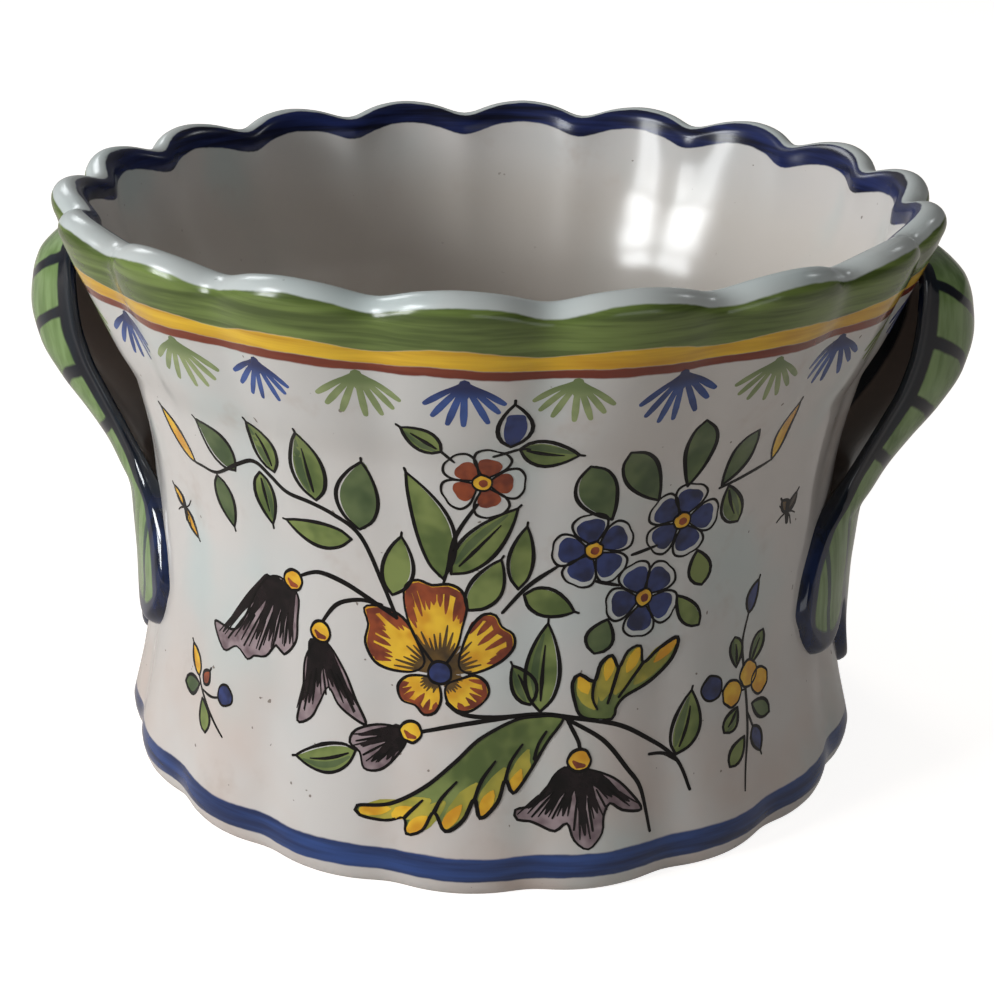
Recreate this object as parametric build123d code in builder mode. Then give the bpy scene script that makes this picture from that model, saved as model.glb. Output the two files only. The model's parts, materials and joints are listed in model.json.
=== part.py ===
"""Glazed earthenware cachepot: a lobed, waisted bowl with two leaf handles.

The bowl is one moulded body with eighteen lobes that run from the scalloped
lip to the foot. Each handle is a cupped leaf, pressed in its own mould and
luted to the bowl under the lip and on the waist. Millimetres, +Z up, origin
at the bottom centre, lobe crest to the front (-Y), handles on -X and +X.
"""
import os
from math import cos, radians, sin, sqrt

from build123d import *

# Bowl: driving sizes
lobe_count = 18
rim_radius = 98.0
rim_height = 131.0
lip_thickness = 7.5
waist_radius = 79.0
waist_height = 66.0
foot_radius = 87.5
foot_ring_width = 8.0
foot_recess = 3.0
floor_thickness = 6.5
wall_thickness = 6.0

# Lobes: how far a valley lies behind a crest, and how far the lip dips there
rim_lobe_depth = 3.6
waist_lobe_depth = 0.6
foot_lobe_depth = 1.8
rim_dip = 3.0

# Handles: driving sizes
handle_overhang = 10.0
handle_half_width = 19.0
handle_edge_thickness = 2.4
tail_half_width = 39.5
tail_tip_drop = 52.0
side_tip_drop = 35.0
leaf_section_count = 15

# Bowl: sizes that follow
half_lobe = 180.0 / lobe_count
lip_radius = lip_thickness / 2
lip_height = rim_height - lip_radius
foot_height = rim_height * 0.046
inner_share = 0.55
foot_stock = 1.2


def lobe_depth(height):
    """Depth of a valley behind its crest at a height, outside the bowl."""
    if height < waist_height:
        low = ((waist_height - height) / waist_height) ** 1.6
        return waist_lobe_depth + (foot_lobe_depth - waist_lobe_depth) * low
    high = min((height - waist_height) / (lip_height - waist_height), 1.0) ** 2.2
    return waist_lobe_depth + (rim_lobe_depth - waist_lobe_depth) * high


def read_table(table, value):
    """Read a rising table of pairs linearly, held at both ends."""
    if value <= table[0][0]:
        return table[0][1]
    for (a, va), (b, vb) in zip(table, table[1:]):
        if value <= b:
            return va + (vb - va) * (value - a) / (b - a)
    return table[-1][1]


def crest_radius(height):
    """Outer radius on a lobe crest, from the waist out to foot and rim."""
    low = [(0.0, 0.0), (0.20, 0.03), (0.433, 0.176), (0.767, 0.588), (1.0, 1.0)]
    high = [(0.0, 0.0), (0.20, 0.045), (0.417, 0.215), (0.567, 0.440), (0.75, 0.690), (1.0, 1.0)]
    if height < waist_height:
        part = (waist_height - height) / (waist_height - foot_height)
        return waist_radius + (foot_radius - waist_radius) * read_table(low, part)
    part = (height - waist_height) / (lip_height - waist_height)
    return waist_radius + (rim_radius - waist_radius) * read_table(high, part)


def radial_plane(angle):
    """Plane through the axis: local x points outward, local y points up."""
    turn = radians(angle)
    return Plane(origin=(0, 0, 0), x_dir=(cos(turn), sin(turn), 0), z_dir=(sin(turn), -cos(turn), 0))


def outer_point(height, valley):
    """Outer wall point on a crest (valley 0) or in a valley (valley 1)."""
    return crest_radius(height) - valley * lobe_depth(height), height


def inner_point(height, valley):
    """Inner wall point: the outer wall less the thickness, lobes softened."""
    return crest_radius(height) - wall_thickness - valley * inner_share * lobe_depth(height), height


# Wall section from foot ring over the lip to the cove of the floor
def wall_points(valley):
    """Points and end tangents of the wall section on a crest or in a valley."""
    depth_foot = valley * lobe_depth(0.0)
    depth_rim = valley * rim_lobe_depth
    lip_x = rim_radius - lip_radius - depth_rim
    lip_z = lip_height - valley * rim_dip
    out_x, out_z = cos(radians(-28)), sin(radians(-28))
    in_x, in_z = cos(radians(164)), sin(radians(164))
    foot_toe = (foot_radius - 2.2 - depth_foot, -foot_stock)
    foot_edge = (foot_radius - depth_foot, foot_height)
    heights_up = [waist_height * 0.303, waist_height * 0.606, waist_height]
    heights_up += [waist_height + (lip_height - waist_height) * share for share in (0.417, 0.567, 0.75)]
    climb = [foot_edge] + [outer_point(height, valley) for height in heights_up]
    lip_out = (lip_x + lip_radius * out_x, lip_z + lip_radius * out_z)
    lip_top = (lip_x, lip_z + lip_radius)
    lip_in = (lip_x + lip_radius * in_x, lip_z + lip_radius * in_z)
    heights_down = [waist_height + (lip_height - waist_height) * share for share in (0.75, 0.417)]
    heights_down += [waist_height, waist_height * 0.606, waist_height * 0.303]
    fall = [lip_in] + [inner_point(height, valley) for height in heights_down]
    floor_top = foot_recess + floor_thickness
    ring_in = foot_radius - foot_ring_width - depth_foot
    cove_high = (foot_radius - wall_thickness - 5.5, floor_top + 3.5)
    cove_low = (foot_radius - wall_thickness - 10.5, floor_top - 1.5)
    heel = (ring_in - 4.5, foot_recess + 1.8)
    toe = (ring_in, -foot_stock)
    foot = [toe, foot_toe, foot_edge]
    lip = [lip_out, lip_top, lip_in]
    tangents = [(-out_z, out_x), (-in_z, in_x)]
    return foot, climb, lip, fall, [cove_high, cove_low, heel, toe], tangents


# One lobe of the wall: valley, crest, valley
with BuildPart() as lobe:
    for angle, valley in ((-half_lobe, 1.0), (0.0, 0.0), (half_lobe, 1.0)):
        foot, climb, lip, fall, floor_edge, tangents = wall_points(valley)
        with BuildSketch(radial_plane(angle)):
            with BuildLine():
                Line(foot[0], foot[1])
                RadiusArc(foot[1], foot[2], -foot_height * 2.4)
                Spline(*climb, lip[0], tangents=[(-0.10, 1.0), tangents[0]])
                ThreePointArc(lip[0], lip[1], lip[2])
                Spline(*fall, floor_edge[0], tangents=[tangents[1], (-0.55, -1.0)])
                Polyline(*floor_edge)
            make_face()
    loft()

# Bowl: the lobes round the axis, a crest to the front, and the floor
floor_radius = foot_radius - foot_ring_width - lobe_depth(0.0) - 0.8
with BuildPart() as pot_body:
    with PolarLocations(0, lobe_count, start_angle=-90):
        add(lobe.part)
    with BuildSketch(Plane.XY.offset(foot_recess)):
        Circle(floor_radius)
    extrude(amount=floor_thickness)
    with BuildSketch(Plane.XY):
        Circle(rim_radius)
    extrude(amount=-3 * foot_stock, mode=Mode.SUBTRACT)

# The bowl with its inside filled, to seat the handles on its skin
fill_heights = [waist_height + (lip_height - waist_height) * share for share in (0.0, 0.417, 0.567, 0.75, 0.95)]
fill_edge = [(crest_radius(height) - wall_thickness * 0.8, height) for height in fill_heights]
with BuildPart() as filled_bowl:
    add(pot_body.part)
    with BuildSketch(Plane.XZ):
        with BuildLine():
            Polyline((0, foot_recess), (fill_edge[0][0], foot_recess), *fill_edge, (0, fill_heights[-1]), close=True)
        make_face()
    revolve(axis=Axis.Z)


def edge_on_wall(height, half_width, proud):
    """Distance along X to a point that stands proud of the wall at a half width."""
    radius = crest_radius(height) + proud
    return sqrt(max(radius * radius - half_width * half_width, 1.0))


handle_reach = rim_radius + handle_overhang
tail_tip_height = waist_height - tail_tip_drop
side_tip_height = waist_height - side_tip_drop
bulge = handle_reach - waist_radius
strap = handle_half_width
thick = handle_edge_thickness


# Leaf rows: height, centre outside, centre inside, half width, edge x, edge back x
def leaf_rows():
    """Horizontal sections that drive the leaf from the lip down to the tail."""
    rows = []
    upper = [
        (lip_height - 8.2, 0.600, 0.36, 0.86, 0.480),
        (lip_height - 12.0, 0.790, 0.42, 0.95, 0.515),
        (lip_height - 15.5, 0.900, 0.56, 0.97, 0.528),
        (lip_height - 20.5, 0.965, 0.74, 0.99, 0.530),
        (lip_height - 27.5, 1.000, 0.825, 1.00, 0.515),
        (lip_height - 35.5, 0.945, 0.765, 1.00, 0.455),
        (lip_height - 43.5, 0.800, 0.615, 1.00, 0.340),
    ]
    for height, outer, inner, width, edge in upper:
        edge_x = waist_radius + bulge * edge
        rows.append((height, waist_radius + bulge * outer, waist_radius + bulge * inner,
                     strap * width, edge_x, edge_x - thick))
    span = lip_height - 43.5 - (waist_height - 6.0)
    middle = [
        (0.68, 0.610, 0.400, 1.03, 0.210, 0.0),
        (0.40, 0.450, 0.190, 1.10, 0.098, 0.4),
        (0.18, 0.345, 0.020, 1.28, 0.005, 1.6),
    ]
    for share, outer, inner, width, edge, more in middle:
        edge_x = waist_radius + bulge * edge
        rows.append((waist_height - 6.0 + span * share, waist_radius + bulge * outer,
                     waist_radius + bulge * inner, strap * width, edge_x, edge_x - thick - more))
    tail = [(0.12, 7.0, 0.78), (0.27, 5.9, 0.94), (0.42, 4.7, 1.0), (0.62, 3.2, 1.0), (0.94, 1.8, 1.0)]
    for share, proud, width in tail:
        height = waist_height - tail_tip_drop * share
        half = tail_half_width * width
        edge_x = edge_on_wall(height, half, min(proud, 2.2))
        rows.append((height, crest_radius(height) + proud, crest_radius(height) - 3.5, half,
                     edge_x, edge_x - thick - 3.2))
    return rows


def leaf_sections():
    """The same leaf in evenly spaced sections, for an even loft."""
    rows = leaf_rows()[::-1]
    low, high = tail_tip_height, rows[-1][0]
    sections = []
    for step in range(leaf_section_count):
        height = high + (low - high) * step / (leaf_section_count - 1)
        values = [read_table([(row[0], row[column]) for row in rows], height) for column in range(1, 6)]
        sections.append((height, *values))
    return sections


# A leaf: lofted, its tail cut to three lobes, its back seated on the bowl
with BuildPart() as leaf:
    for height, outer, inner, half, edge, back in leaf_sections():
        middle_x = edge * 0.45 + back * 0.55
        wide, narrow = half + thick * 0.40, half - thick * 0.25
        with BuildSketch(Plane.XY.offset(height)):
            with BuildLine():
                ThreePointArc((edge, -half), (outer, 0), (edge, half))
                ThreePointArc((edge, half), (middle_x, wide), (back, narrow))
                ThreePointArc((back, narrow), (inner, 0), (back, -narrow))
                ThreePointArc((back, -narrow), (middle_x, -wide), (edge, -half))
            make_face()
    loft()
    with BuildSketch(Plane.YZ.offset(waist_radius * 0.4)):
        with BuildLine():
            notch = tail_half_width * 0.50
            notch_z = side_tip_height + 7.0
            wide = tail_half_width * 1.06
            far = tail_half_width * 1.4
            ThreePointArc((-wide, side_tip_height + 18), (-tail_half_width * 0.74, side_tip_height), (-notch, notch_z))
            Spline((-notch, notch_z), (-notch * 0.62, tail_tip_height + 15), (0, tail_tip_height),
                   (notch * 0.62, tail_tip_height + 15), (notch, notch_z))
            ThreePointArc((notch, notch_z), (tail_half_width * 0.74, side_tip_height), (wide, side_tip_height + 18))
            Polyline((wide, side_tip_height + 18), (far, side_tip_height + 18), (far, -5), (-far, -5),
                     (-far, side_tip_height + 18), (-wide, side_tip_height + 18))
        make_face()
    extrude(amount=handle_reach, mode=Mode.SUBTRACT)

with BuildPart() as handle_right:
    add(leaf.part)
    add(filled_bowl.part, mode=Mode.SUBTRACT)

with BuildPart() as handle_left:
    add(leaf.part.rotate(Axis.Z, 180))
    add(filled_bowl.part, mode=Mode.SUBTRACT)

os.makedirs("parts", exist_ok=True)
pot_body.part.label = "pot_body"
export_step(pot_body.part, "parts/pot_body.step")
handle_left.part.label = "handle_left"
export_step(handle_left.part, "parts/handle_left.step")
handle_right.part.label = "handle_right"
export_step(handle_right.part, "parts/handle_right.step")
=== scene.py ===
"""Blender scene of a painted, glazed cachepot.

The bowl is a lobed body that Geometry Nodes make from the same sizes as the
solids. The handles follow the solids' section tables. The painted flowers are
thin patches of glaze, drawn flat in millimetres and wrapped on the bowl.
"""

import json
import logging
import math
import random
from dataclasses import dataclass, field
from enum import Enum

import bpy
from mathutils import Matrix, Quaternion, Vector
from mathutils.geometry import delaunay_2d_cdt

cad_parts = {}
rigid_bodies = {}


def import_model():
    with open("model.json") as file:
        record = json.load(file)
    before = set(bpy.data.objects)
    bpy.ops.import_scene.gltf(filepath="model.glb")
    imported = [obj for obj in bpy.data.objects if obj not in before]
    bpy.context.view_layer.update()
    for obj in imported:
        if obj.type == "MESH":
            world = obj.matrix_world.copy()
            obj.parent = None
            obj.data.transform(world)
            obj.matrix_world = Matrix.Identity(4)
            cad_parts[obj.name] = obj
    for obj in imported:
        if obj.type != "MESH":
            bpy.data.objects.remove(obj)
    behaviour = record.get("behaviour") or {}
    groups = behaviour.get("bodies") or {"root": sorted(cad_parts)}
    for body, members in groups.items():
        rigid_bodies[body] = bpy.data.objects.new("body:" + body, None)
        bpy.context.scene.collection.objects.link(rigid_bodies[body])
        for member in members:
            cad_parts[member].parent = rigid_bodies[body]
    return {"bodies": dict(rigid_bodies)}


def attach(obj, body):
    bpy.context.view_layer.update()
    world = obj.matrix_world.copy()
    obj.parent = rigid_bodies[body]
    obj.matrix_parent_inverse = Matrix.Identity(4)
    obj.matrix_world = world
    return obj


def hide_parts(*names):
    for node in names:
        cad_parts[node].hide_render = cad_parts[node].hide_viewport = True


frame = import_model()

Point = tuple[float, float]
Place = tuple[float, float, float]
Outline = tuple[Point, ...]
Points = Outline | list[Point]
Face = tuple[int, ...]
Colour = tuple[float, float, float]
Socket = bpy.types.NodeSocket
Node = bpy.types.Node
Inputs = dict[str | int, object]

LOG = logging.getLogger("cachepot")
MM = 0.001
PER_METRE = 1000.0

# Wrapping a drawing on the bowl, in metres
DRAWING_RADIUS = 0.08
RAY_START = 0.2
RAY_LENGTH = 0.3

# Ring of fans: how many, how high, and how much each leans and grows
FAN_COUNT = 14
FAN_HEIGHT = 0.1132
FAN_FIRST_TURN = math.radians(0.7)
FAN_LEAN = (-0.07, 0.07)
FAN_GROWTH = (0.90, 1.08)

# Valley between two lobes: a middle value and the waves added to it
VALLEY_MIDDLE = 0.40
VALLEY_WAVES = ((1.0, -0.45), (2.0, 0.08), (3.0, -0.02))
BOWL_COLUMNS = 396
UNEVENNESS = 0.0003

# Patches of paint, in millimetres
PATCH_ROOT = -0.08
PATCH_GRID = 1.4
PATCH_GRID_LEAST = 2.5
PATCH_MERGE = 0.002
LIFT_STEP = 0.0012
LIFT_CYCLE = 9
EYE_LIFT = 0.055
BERRY_LIFT = 0.05
TOOTH_STEP = 0.010
TOOTH_LIFT = 0.08
CUT_LIFT = 0.10
PAINTER_SEED = 20


def srgb(red: float, green: float, blue: float) -> Colour:
    """Turn a colour as it is seen on a screen into a linear one.

    Args:
        red: Red from 0 to 255.
        green: Green from 0 to 255.
        blue: Blue from 0 to 255.

    Returns:
        The linear colour, each part from 0 to 1.
    """
    parts = [value / 255 for value in (red, green, blue)]
    linear = [part / 12.92 if part <= 0.04045 else ((part + 0.055) / 1.055) ** 2.4 for part in parts]
    return linear[0], linear[1], linear[2]


def along(start: Point, end: Point, shares: tuple[float, ...]) -> list[Point]:
    """Points on a straight line, by their shares of the way."""
    (ax, ay), (bx, by) = start, end
    return [(ax + (bx - ax) * share, ay + (by - ay) * share) for share in shares]


def in_scene(name: str, data: bpy.types.ID) -> bpy.types.Object:
    """Make an object and put it in the scene.

    Args:
        name: Its name.
        data: Its mesh, lamp or camera.

    Returns:
        The object.
    """
    made = bpy.data.objects.new(name, data)
    bpy.context.scene.collection.objects.link(made)
    return made


def grid_faces(rows: int, columns: int) -> list[Face]:
    """Join rows of points, each closed on itself.

    Args:
        rows: Rows of faces.
        columns: Points in a row.

    Returns:
        The faces.
    """
    faces: list[Face] = []
    for row in range(rows):
        for column in range(columns):
            a, b = row * columns + column, row * columns + (column + 1) % columns
            faces.append((a, b, b + columns, a + columns))
    return faces


def skin(name: str, points: list[Place], faces: list[Face], values: dict[str, list[float]]) -> bpy.types.Mesh:
    """Make a smooth mesh with numbers stored on its points.

    Args:
        name: Its name.
        points: Its points in metres.
        faces: Its faces.
        values: The numbers by their names.

    Returns:
        The mesh.
    """
    mesh = bpy.data.meshes.new(name)
    mesh.from_pydata(points, [], faces)
    mesh.polygons.foreach_set("use_smooth", [True] * len(faces))
    for label, stored in values.items():
        mesh.attributes.new(label, "FLOAT", "POINT").data.foreach_set("value", stored)
    mesh.update()
    return mesh


class Curve:
    """A smooth curve through a table of rising values, without overshoot."""

    def __init__(self, table: list[Point]) -> None:
        """Keep the table and work out a slope at each of its points.

        Args:
            table: Pairs of a rising value and its result.
        """
        self.xs = [pair[0] for pair in table]
        self.ys = [pair[1] for pair in table]
        steps = [b - a for a, b in zip(self.xs, self.xs[1:])]
        rates = [(b - a) / step for a, b, step in zip(self.ys, self.ys[1:], steps)]
        self.slopes = [rates[0]]
        for before, after in zip(rates, rates[1:]):
            same_way = before * after > 0
            self.slopes.append(2 * before * after / (before + after) if same_way else 0.0)
        self.slopes.append(rates[-1])

    def at(self, value: float) -> float:
        """Read the curve, held at both of its ends.

        Args:
            value: Where to read it.

        Returns:
            The curve's result there.
        """
        if value <= self.xs[0]:
            return self.ys[0]
        if value >= self.xs[-1]:
            return self.ys[-1]
        index = next(i for i, x in enumerate(self.xs[1:]) if value <= x)
        width = self.xs[index + 1] - self.xs[index]
        t = (value - self.xs[index]) / width
        rise = self.ys[index + 1] - self.ys[index]
        start, end = self.slopes[index] * width, self.slopes[index + 1] * width
        bend, twist = 3 * rise - 2 * start - end, start + end - 2 * rise
        return self.ys[index] + t * start + t * t * bend + t ** 3 * twist


@dataclass(frozen=True)
class BowlShape:
    """Sizes of the bowl in millimetres, the same as the solids'."""

    lobes: int = 18
    rim_radius: float = 98.0
    rim_height: float = 131.0
    lip_radius: float = 3.75
    waist_radius: float = 79.0
    waist_height: float = 66.0
    foot_radius: float = 87.5
    foot_height: float = 6.03
    floor_top: float = 9.5
    recess: float = 3.0
    rim_lobe: float = 3.6
    waist_lobe: float = 0.6
    foot_lobe: float = 1.8
    rim_dip: float = 3.0
    dip_start: float = 111.9
    lip_start: float = -28.0
    lip_end: float = 164.0
    inner_top: float = 128.28
    inner_low: float = 20.0

    @property
    def lip_height(self) -> float:
        """Height of the lip's centre."""
        return self.rim_height - self.lip_radius

    def lobe(self, height: float) -> float:
        """Depth of a valley behind its crest.

        Args:
            height: Height on the wall.

        Returns:
            The depth there.
        """
        if height < self.waist_height:
            share = (self.waist_height - max(height, 0.0)) / self.waist_height
            return self.waist_lobe + (self.foot_lobe - self.waist_lobe) * share ** 1.6
        share = min((height - self.waist_height) / (self.lip_height - self.waist_height), 1.0)
        return self.waist_lobe + (self.rim_lobe - self.waist_lobe) * share ** 2.2

    def dip(self, height: float) -> float:
        """How far the rim's scallop lowers a valley at a height."""
        share = min(max((height - self.dip_start) / (self.lip_height - self.dip_start), 0.0), 1.0)
        return self.rim_dip * share * share * (3 - 2 * share)


@dataclass(frozen=True)
class Ring:
    """One ring of the bowl's skin, as its crest has it."""

    radius: float
    height: float
    lobe: float
    dip: float


@dataclass
class BowlProfile:
    """The bowl's section as rings, with the way along it from the foot."""

    shape: BowlShape
    rings: list[Ring] = field(default_factory=list)
    ways: list[float] = field(default_factory=list)
    top_way: float = 0.0

    def __post_init__(self) -> None:
        """Fill the rings from the underside over the lip to the floor."""
        self.outer = self.outer_curve()
        self.add_underside()
        first = len(self.rings) - 1
        self.add_outside()
        lip_first = len(self.rings)
        self.add_lip()
        lip_last = len(self.rings)
        self.add_inside()
        total = 0.0
        way = [0.0]
        for a, b in zip(self.rings, self.rings[1:]):
            total += math.hypot(b.radius - a.radius, b.height - a.height)
            way.append(total)
        self.ways = [value - way[first] for value in way]
        top = max(range(lip_first, lip_last), key=lambda index: self.rings[index].height)
        self.top_way = self.ways[top]
        self.outer_ways = [(self.rings[i].height, self.ways[i]) for i in range(first, top + 1)]

    def outer_curve(self) -> Curve:
        """Crest radius over height, from the foot to the lip.

        Returns:
            The curve through the solids' stations.
        """
        s = self.shape
        low = s.foot_radius - s.waist_radius
        high = s.rim_radius - s.waist_radius
        up = s.lip_height - s.waist_height
        table = [(s.foot_height, s.foot_radius), (20.0, s.waist_radius + low * 0.588)]
        table += [(40.0, s.waist_radius + low * 0.176), (s.waist_height, s.waist_radius)]
        for share, part in ((0.417, 0.215), (0.567, 0.440), (0.75, 0.690), (0.972, 0.977), (1.0, 1.0)):
            table.append((s.waist_height + up * share, s.waist_radius + high * part))
        return Curve(table)

    def add(self, points: Outline, lobe: float) -> None:
        """Add rings by their radius and height, all with one depth of lobe."""
        self.rings += [Ring(radius, height, lobe, 0.0) for radius, height in points]

    def add_underside(self) -> None:
        """Add the recess under the floor and the foot ring."""
        s = self.shape
        self.add(tuple((radius, s.recess) for radius in (2.0, 30.0, 60.0, 75.0, 76.0)), 0.0)
        self.add(((76.6, 2.7), (77.6, 1.2), (78.4, 0.25), (78.9, 0.0), (82.0, 0.0), (85.3, 0.0), (85.9, 0.25),
                  (86.5, 1.1), (87.0, 2.4), (87.35, 4.0), (s.foot_radius, s.foot_height)), s.foot_lobe)

    def add_outside(self) -> None:
        """Add the outer wall up to the lip."""
        s = self.shape
        top = s.lip_height + s.lip_radius * math.sin(math.radians(s.lip_start))
        rows = 72
        for row in range(1, rows):
            height = s.foot_height + (top - s.foot_height) * row / rows
            self.rings.append(Ring(self.outer.at(height), height, s.lobe(height), s.dip(height)))

    def add_lip(self) -> None:
        """Add the round lip."""
        s = self.shape
        rows = 18
        for row in range(rows + 1):
            turn = math.radians(s.lip_start + (s.lip_end - s.lip_start) * row / rows)
            radius = s.rim_radius - s.lip_radius + s.lip_radius * math.cos(turn)
            height = s.lip_height + s.lip_radius * math.sin(turn)
            self.rings.append(Ring(radius, height, s.rim_lobe, s.rim_dip))

    def add_inside(self) -> None:
        """Add the inner wall, the cove and the floor."""
        s = self.shape
        inner = Curve([(s.inner_low, 78.0), (40.0, 74.5), (66.0, 73.0), (91.5, 77.1), (111.9, 86.1),
                       (s.inner_top, 90.65)])
        rows = 52
        for row in range(1, rows):
            height = s.inner_top + (s.inner_low - s.inner_top) * row / rows
            near = min(max((height - 112.0) / 16.3, 0.0), 1.0)
            share = 0.55 + 0.45 * near * near
            fade = min((height - s.inner_low) / 30.0, 1.0)
            self.rings.append(Ring(inner.at(height), height, share * fade * s.lobe(height), s.dip(height)))
        self.add(((78.0, 20.0), (77.8, 17.5), (77.2, 15.0), (76.2, 12.8), (74.7, 11.1), (72.8, 10.0)), 0.0)
        self.add(tuple((radius, s.floor_top) for radius in (70.0, 60.0, 40.0, 20.0, 2.0)), 0.0)

    def way_at(self, height: float) -> float:
        """Way along the section to a height on the outer wall.

        Args:
            height: Height on a crest.

        Returns:
            The way from the foot's edge.
        """
        if height < self.outer_ways[0][0]:
            return height - self.outer_ways[0][0]
        for (a, way_a), (b, way_b) in zip(self.outer_ways, self.outer_ways[1:]):
            if a <= height <= b:
                return way_a + (way_b - way_a) * (height - a) / max(b - a, 1e-6)
        return self.outer_ways[-1][1]

    def mesh(self) -> bpy.types.Mesh:
        """Lay the rings out as a grid with their values stored on it.

        Returns:
            The grid; its places come from the geometry tree.
        """
        names = ("turn", "radius", "height", "lobe", "dip", "way")
        values: dict[str, list[float]] = {name: [] for name in names}
        points: list[Place] = []
        for ring, way in zip(self.rings, self.ways):
            sizes = [size * MM for size in (ring.radius, ring.height, ring.lobe, ring.dip, way)]
            for column in range(BOWL_COLUMNS):
                turn = column / BOWL_COLUMNS
                around = math.tau * turn
                points.append((sizes[0] * math.sin(around), -sizes[0] * math.cos(around), sizes[1]))
                for stored, value in zip(values.values(), (turn, *sizes)):
                    stored.append(value)
        faces = grid_faces(len(self.rings) - 1, BOWL_COLUMNS)
        last = (len(self.rings) - 1) * BOWL_COLUMNS
        faces.append(tuple(range(BOWL_COLUMNS))[::-1])
        faces.append(tuple(last + column for column in range(BOWL_COLUMNS)))
        return skin("bowl_rings", points, faces, values)


class Tree:
    """Small helper to write a node tree as plain sums."""

    def __init__(self, tree: bpy.types.NodeTree) -> None:
        """Keep the shader or geometry tree to fill."""
        self.tree = tree

    def add(self, kind: str, inputs: Inputs | None = None, **settings: object) -> Node:
        """Add a node.

        Args:
            kind: The node's type name.
            inputs: What feeds its inputs, by their names or numbers.
            settings: Properties to set on it.

        Returns:
            The new node.
        """
        node = self.tree.nodes.new(kind)
        for name, value in settings.items():
            setattr(node, name, value)
        for socket, value in (inputs or {}).items():
            self.put(value, node.inputs[socket])
        return node

    def put(self, value: object, socket: Socket) -> None:
        """Feed a socket.

        Args:
            value: Another socket, a number, or a colour of three parts.
            socket: The input to feed.
        """
        if isinstance(value, Socket):
            self.tree.links.new(value, socket)
        else:
            socket.default_value = (*value, 1.0) if socket.type == "RGBA" else value

    def math(self, operation: str, *values: object) -> Socket:
        """Work out a sum of up to three values."""
        inputs = dict(enumerate((*values, 0.0, 0.0)[:3]))
        return self.add("ShaderNodeMath", inputs, operation=operation).outputs[0]

    def step(self, value: object, low: float, high: float) -> Socket:
        """Rise smoothly from 0 to 1 between two values."""
        inputs = {"Value": value, "From Min": low, "From Max": high}
        return self.add("ShaderNodeMapRange", inputs, interpolation_type="SMOOTHSTEP").outputs["Result"]

    def rise(self, value: object, low: float, high: float, amount: float) -> Socket:
        """Rise smoothly from 0 to an amount between two values."""
        return self.math("MULTIPLY", self.step(value, low, high), amount)

    def fall(self, value: object, low: float, high: float) -> Socket:
        """Fall smoothly from 1 to 0 between two values."""
        return self.math("SUBTRACT", 1.0, self.step(value, low, high))

    def band(self, value: object, low: float, high: float, soft: float) -> Socket:
        """One between two values and zero outside them, with soft edges."""
        rise, fall = (self.step(value, edge - soft / 2, edge + soft / 2) for edge in (low, high))
        return self.math("SUBTRACT", rise, fall)

    def mix(self, amount: object, first: object, second: object) -> Socket:
        """Mix two colours by the share of the second."""
        return self.add("ShaderNodeMix", {0: amount, 6: first, 7: second}, data_type="RGBA").outputs[2]

    def noise(self, vector: Socket, scale: float, detail: float = 2.0, rough: float = 0.5) -> Socket:
        """Read a noise texture."""
        inputs = {"Vector": vector, "Scale": scale, "Detail": detail, "Roughness": rough}
        return self.add("ShaderNodeTexNoise", inputs).outputs[0]

    def random(self, low: float, high: float, seed: Socket) -> Socket:
        """Draw a number for each point."""
        inputs = {2: low, 3: high, "Seed": seed}
        return self.add("FunctionNodeRandomValue", inputs, data_type="FLOAT").outputs[1]

    def stretch(self, vector: Socket, amounts: Place) -> Socket:
        """Scale a vector along its axes."""
        return self.add("ShaderNodeVectorMath", {0: vector, 1: amounts}, operation="MULTIPLY").outputs[0]

    def vector(self, *values: object) -> Socket:
        """Make a vector of three numbers."""
        return self.add("ShaderNodeCombineXYZ", dict(enumerate(values))).outputs[0]

    def parts(self, vector: Socket) -> list[Socket]:
        """Split a vector into its three numbers."""
        return list(self.add("ShaderNodeSeparateXYZ", {0: vector}).outputs)

    def attribute(self, name: str) -> Socket:
        """Read a number that is stored on the mesh, in a material."""
        return self.add("ShaderNodeAttribute", attribute_name=name).outputs["Fac"]

    def stored(self, name: str) -> Socket:
        """Read a number that is stored on the mesh, in Geometry Nodes."""
        node = self.add("GeometryNodeInputNamedAttribute", {"Name": name}, data_type="FLOAT")
        return node.outputs["Attribute"]

    def move(self, geometry: Socket, position: Socket) -> Socket:
        """Put a geometry's points in new places."""
        return self.add("GeometryNodeSetPosition", {"Geometry": geometry, "Position": position}).outputs[0]

    def realize(self, geometry: Socket) -> Socket:
        """Turn instances into real geometry."""
        return self.add("GeometryNodeRealizeInstances", {"Geometry": geometry}).outputs[0]


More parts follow.
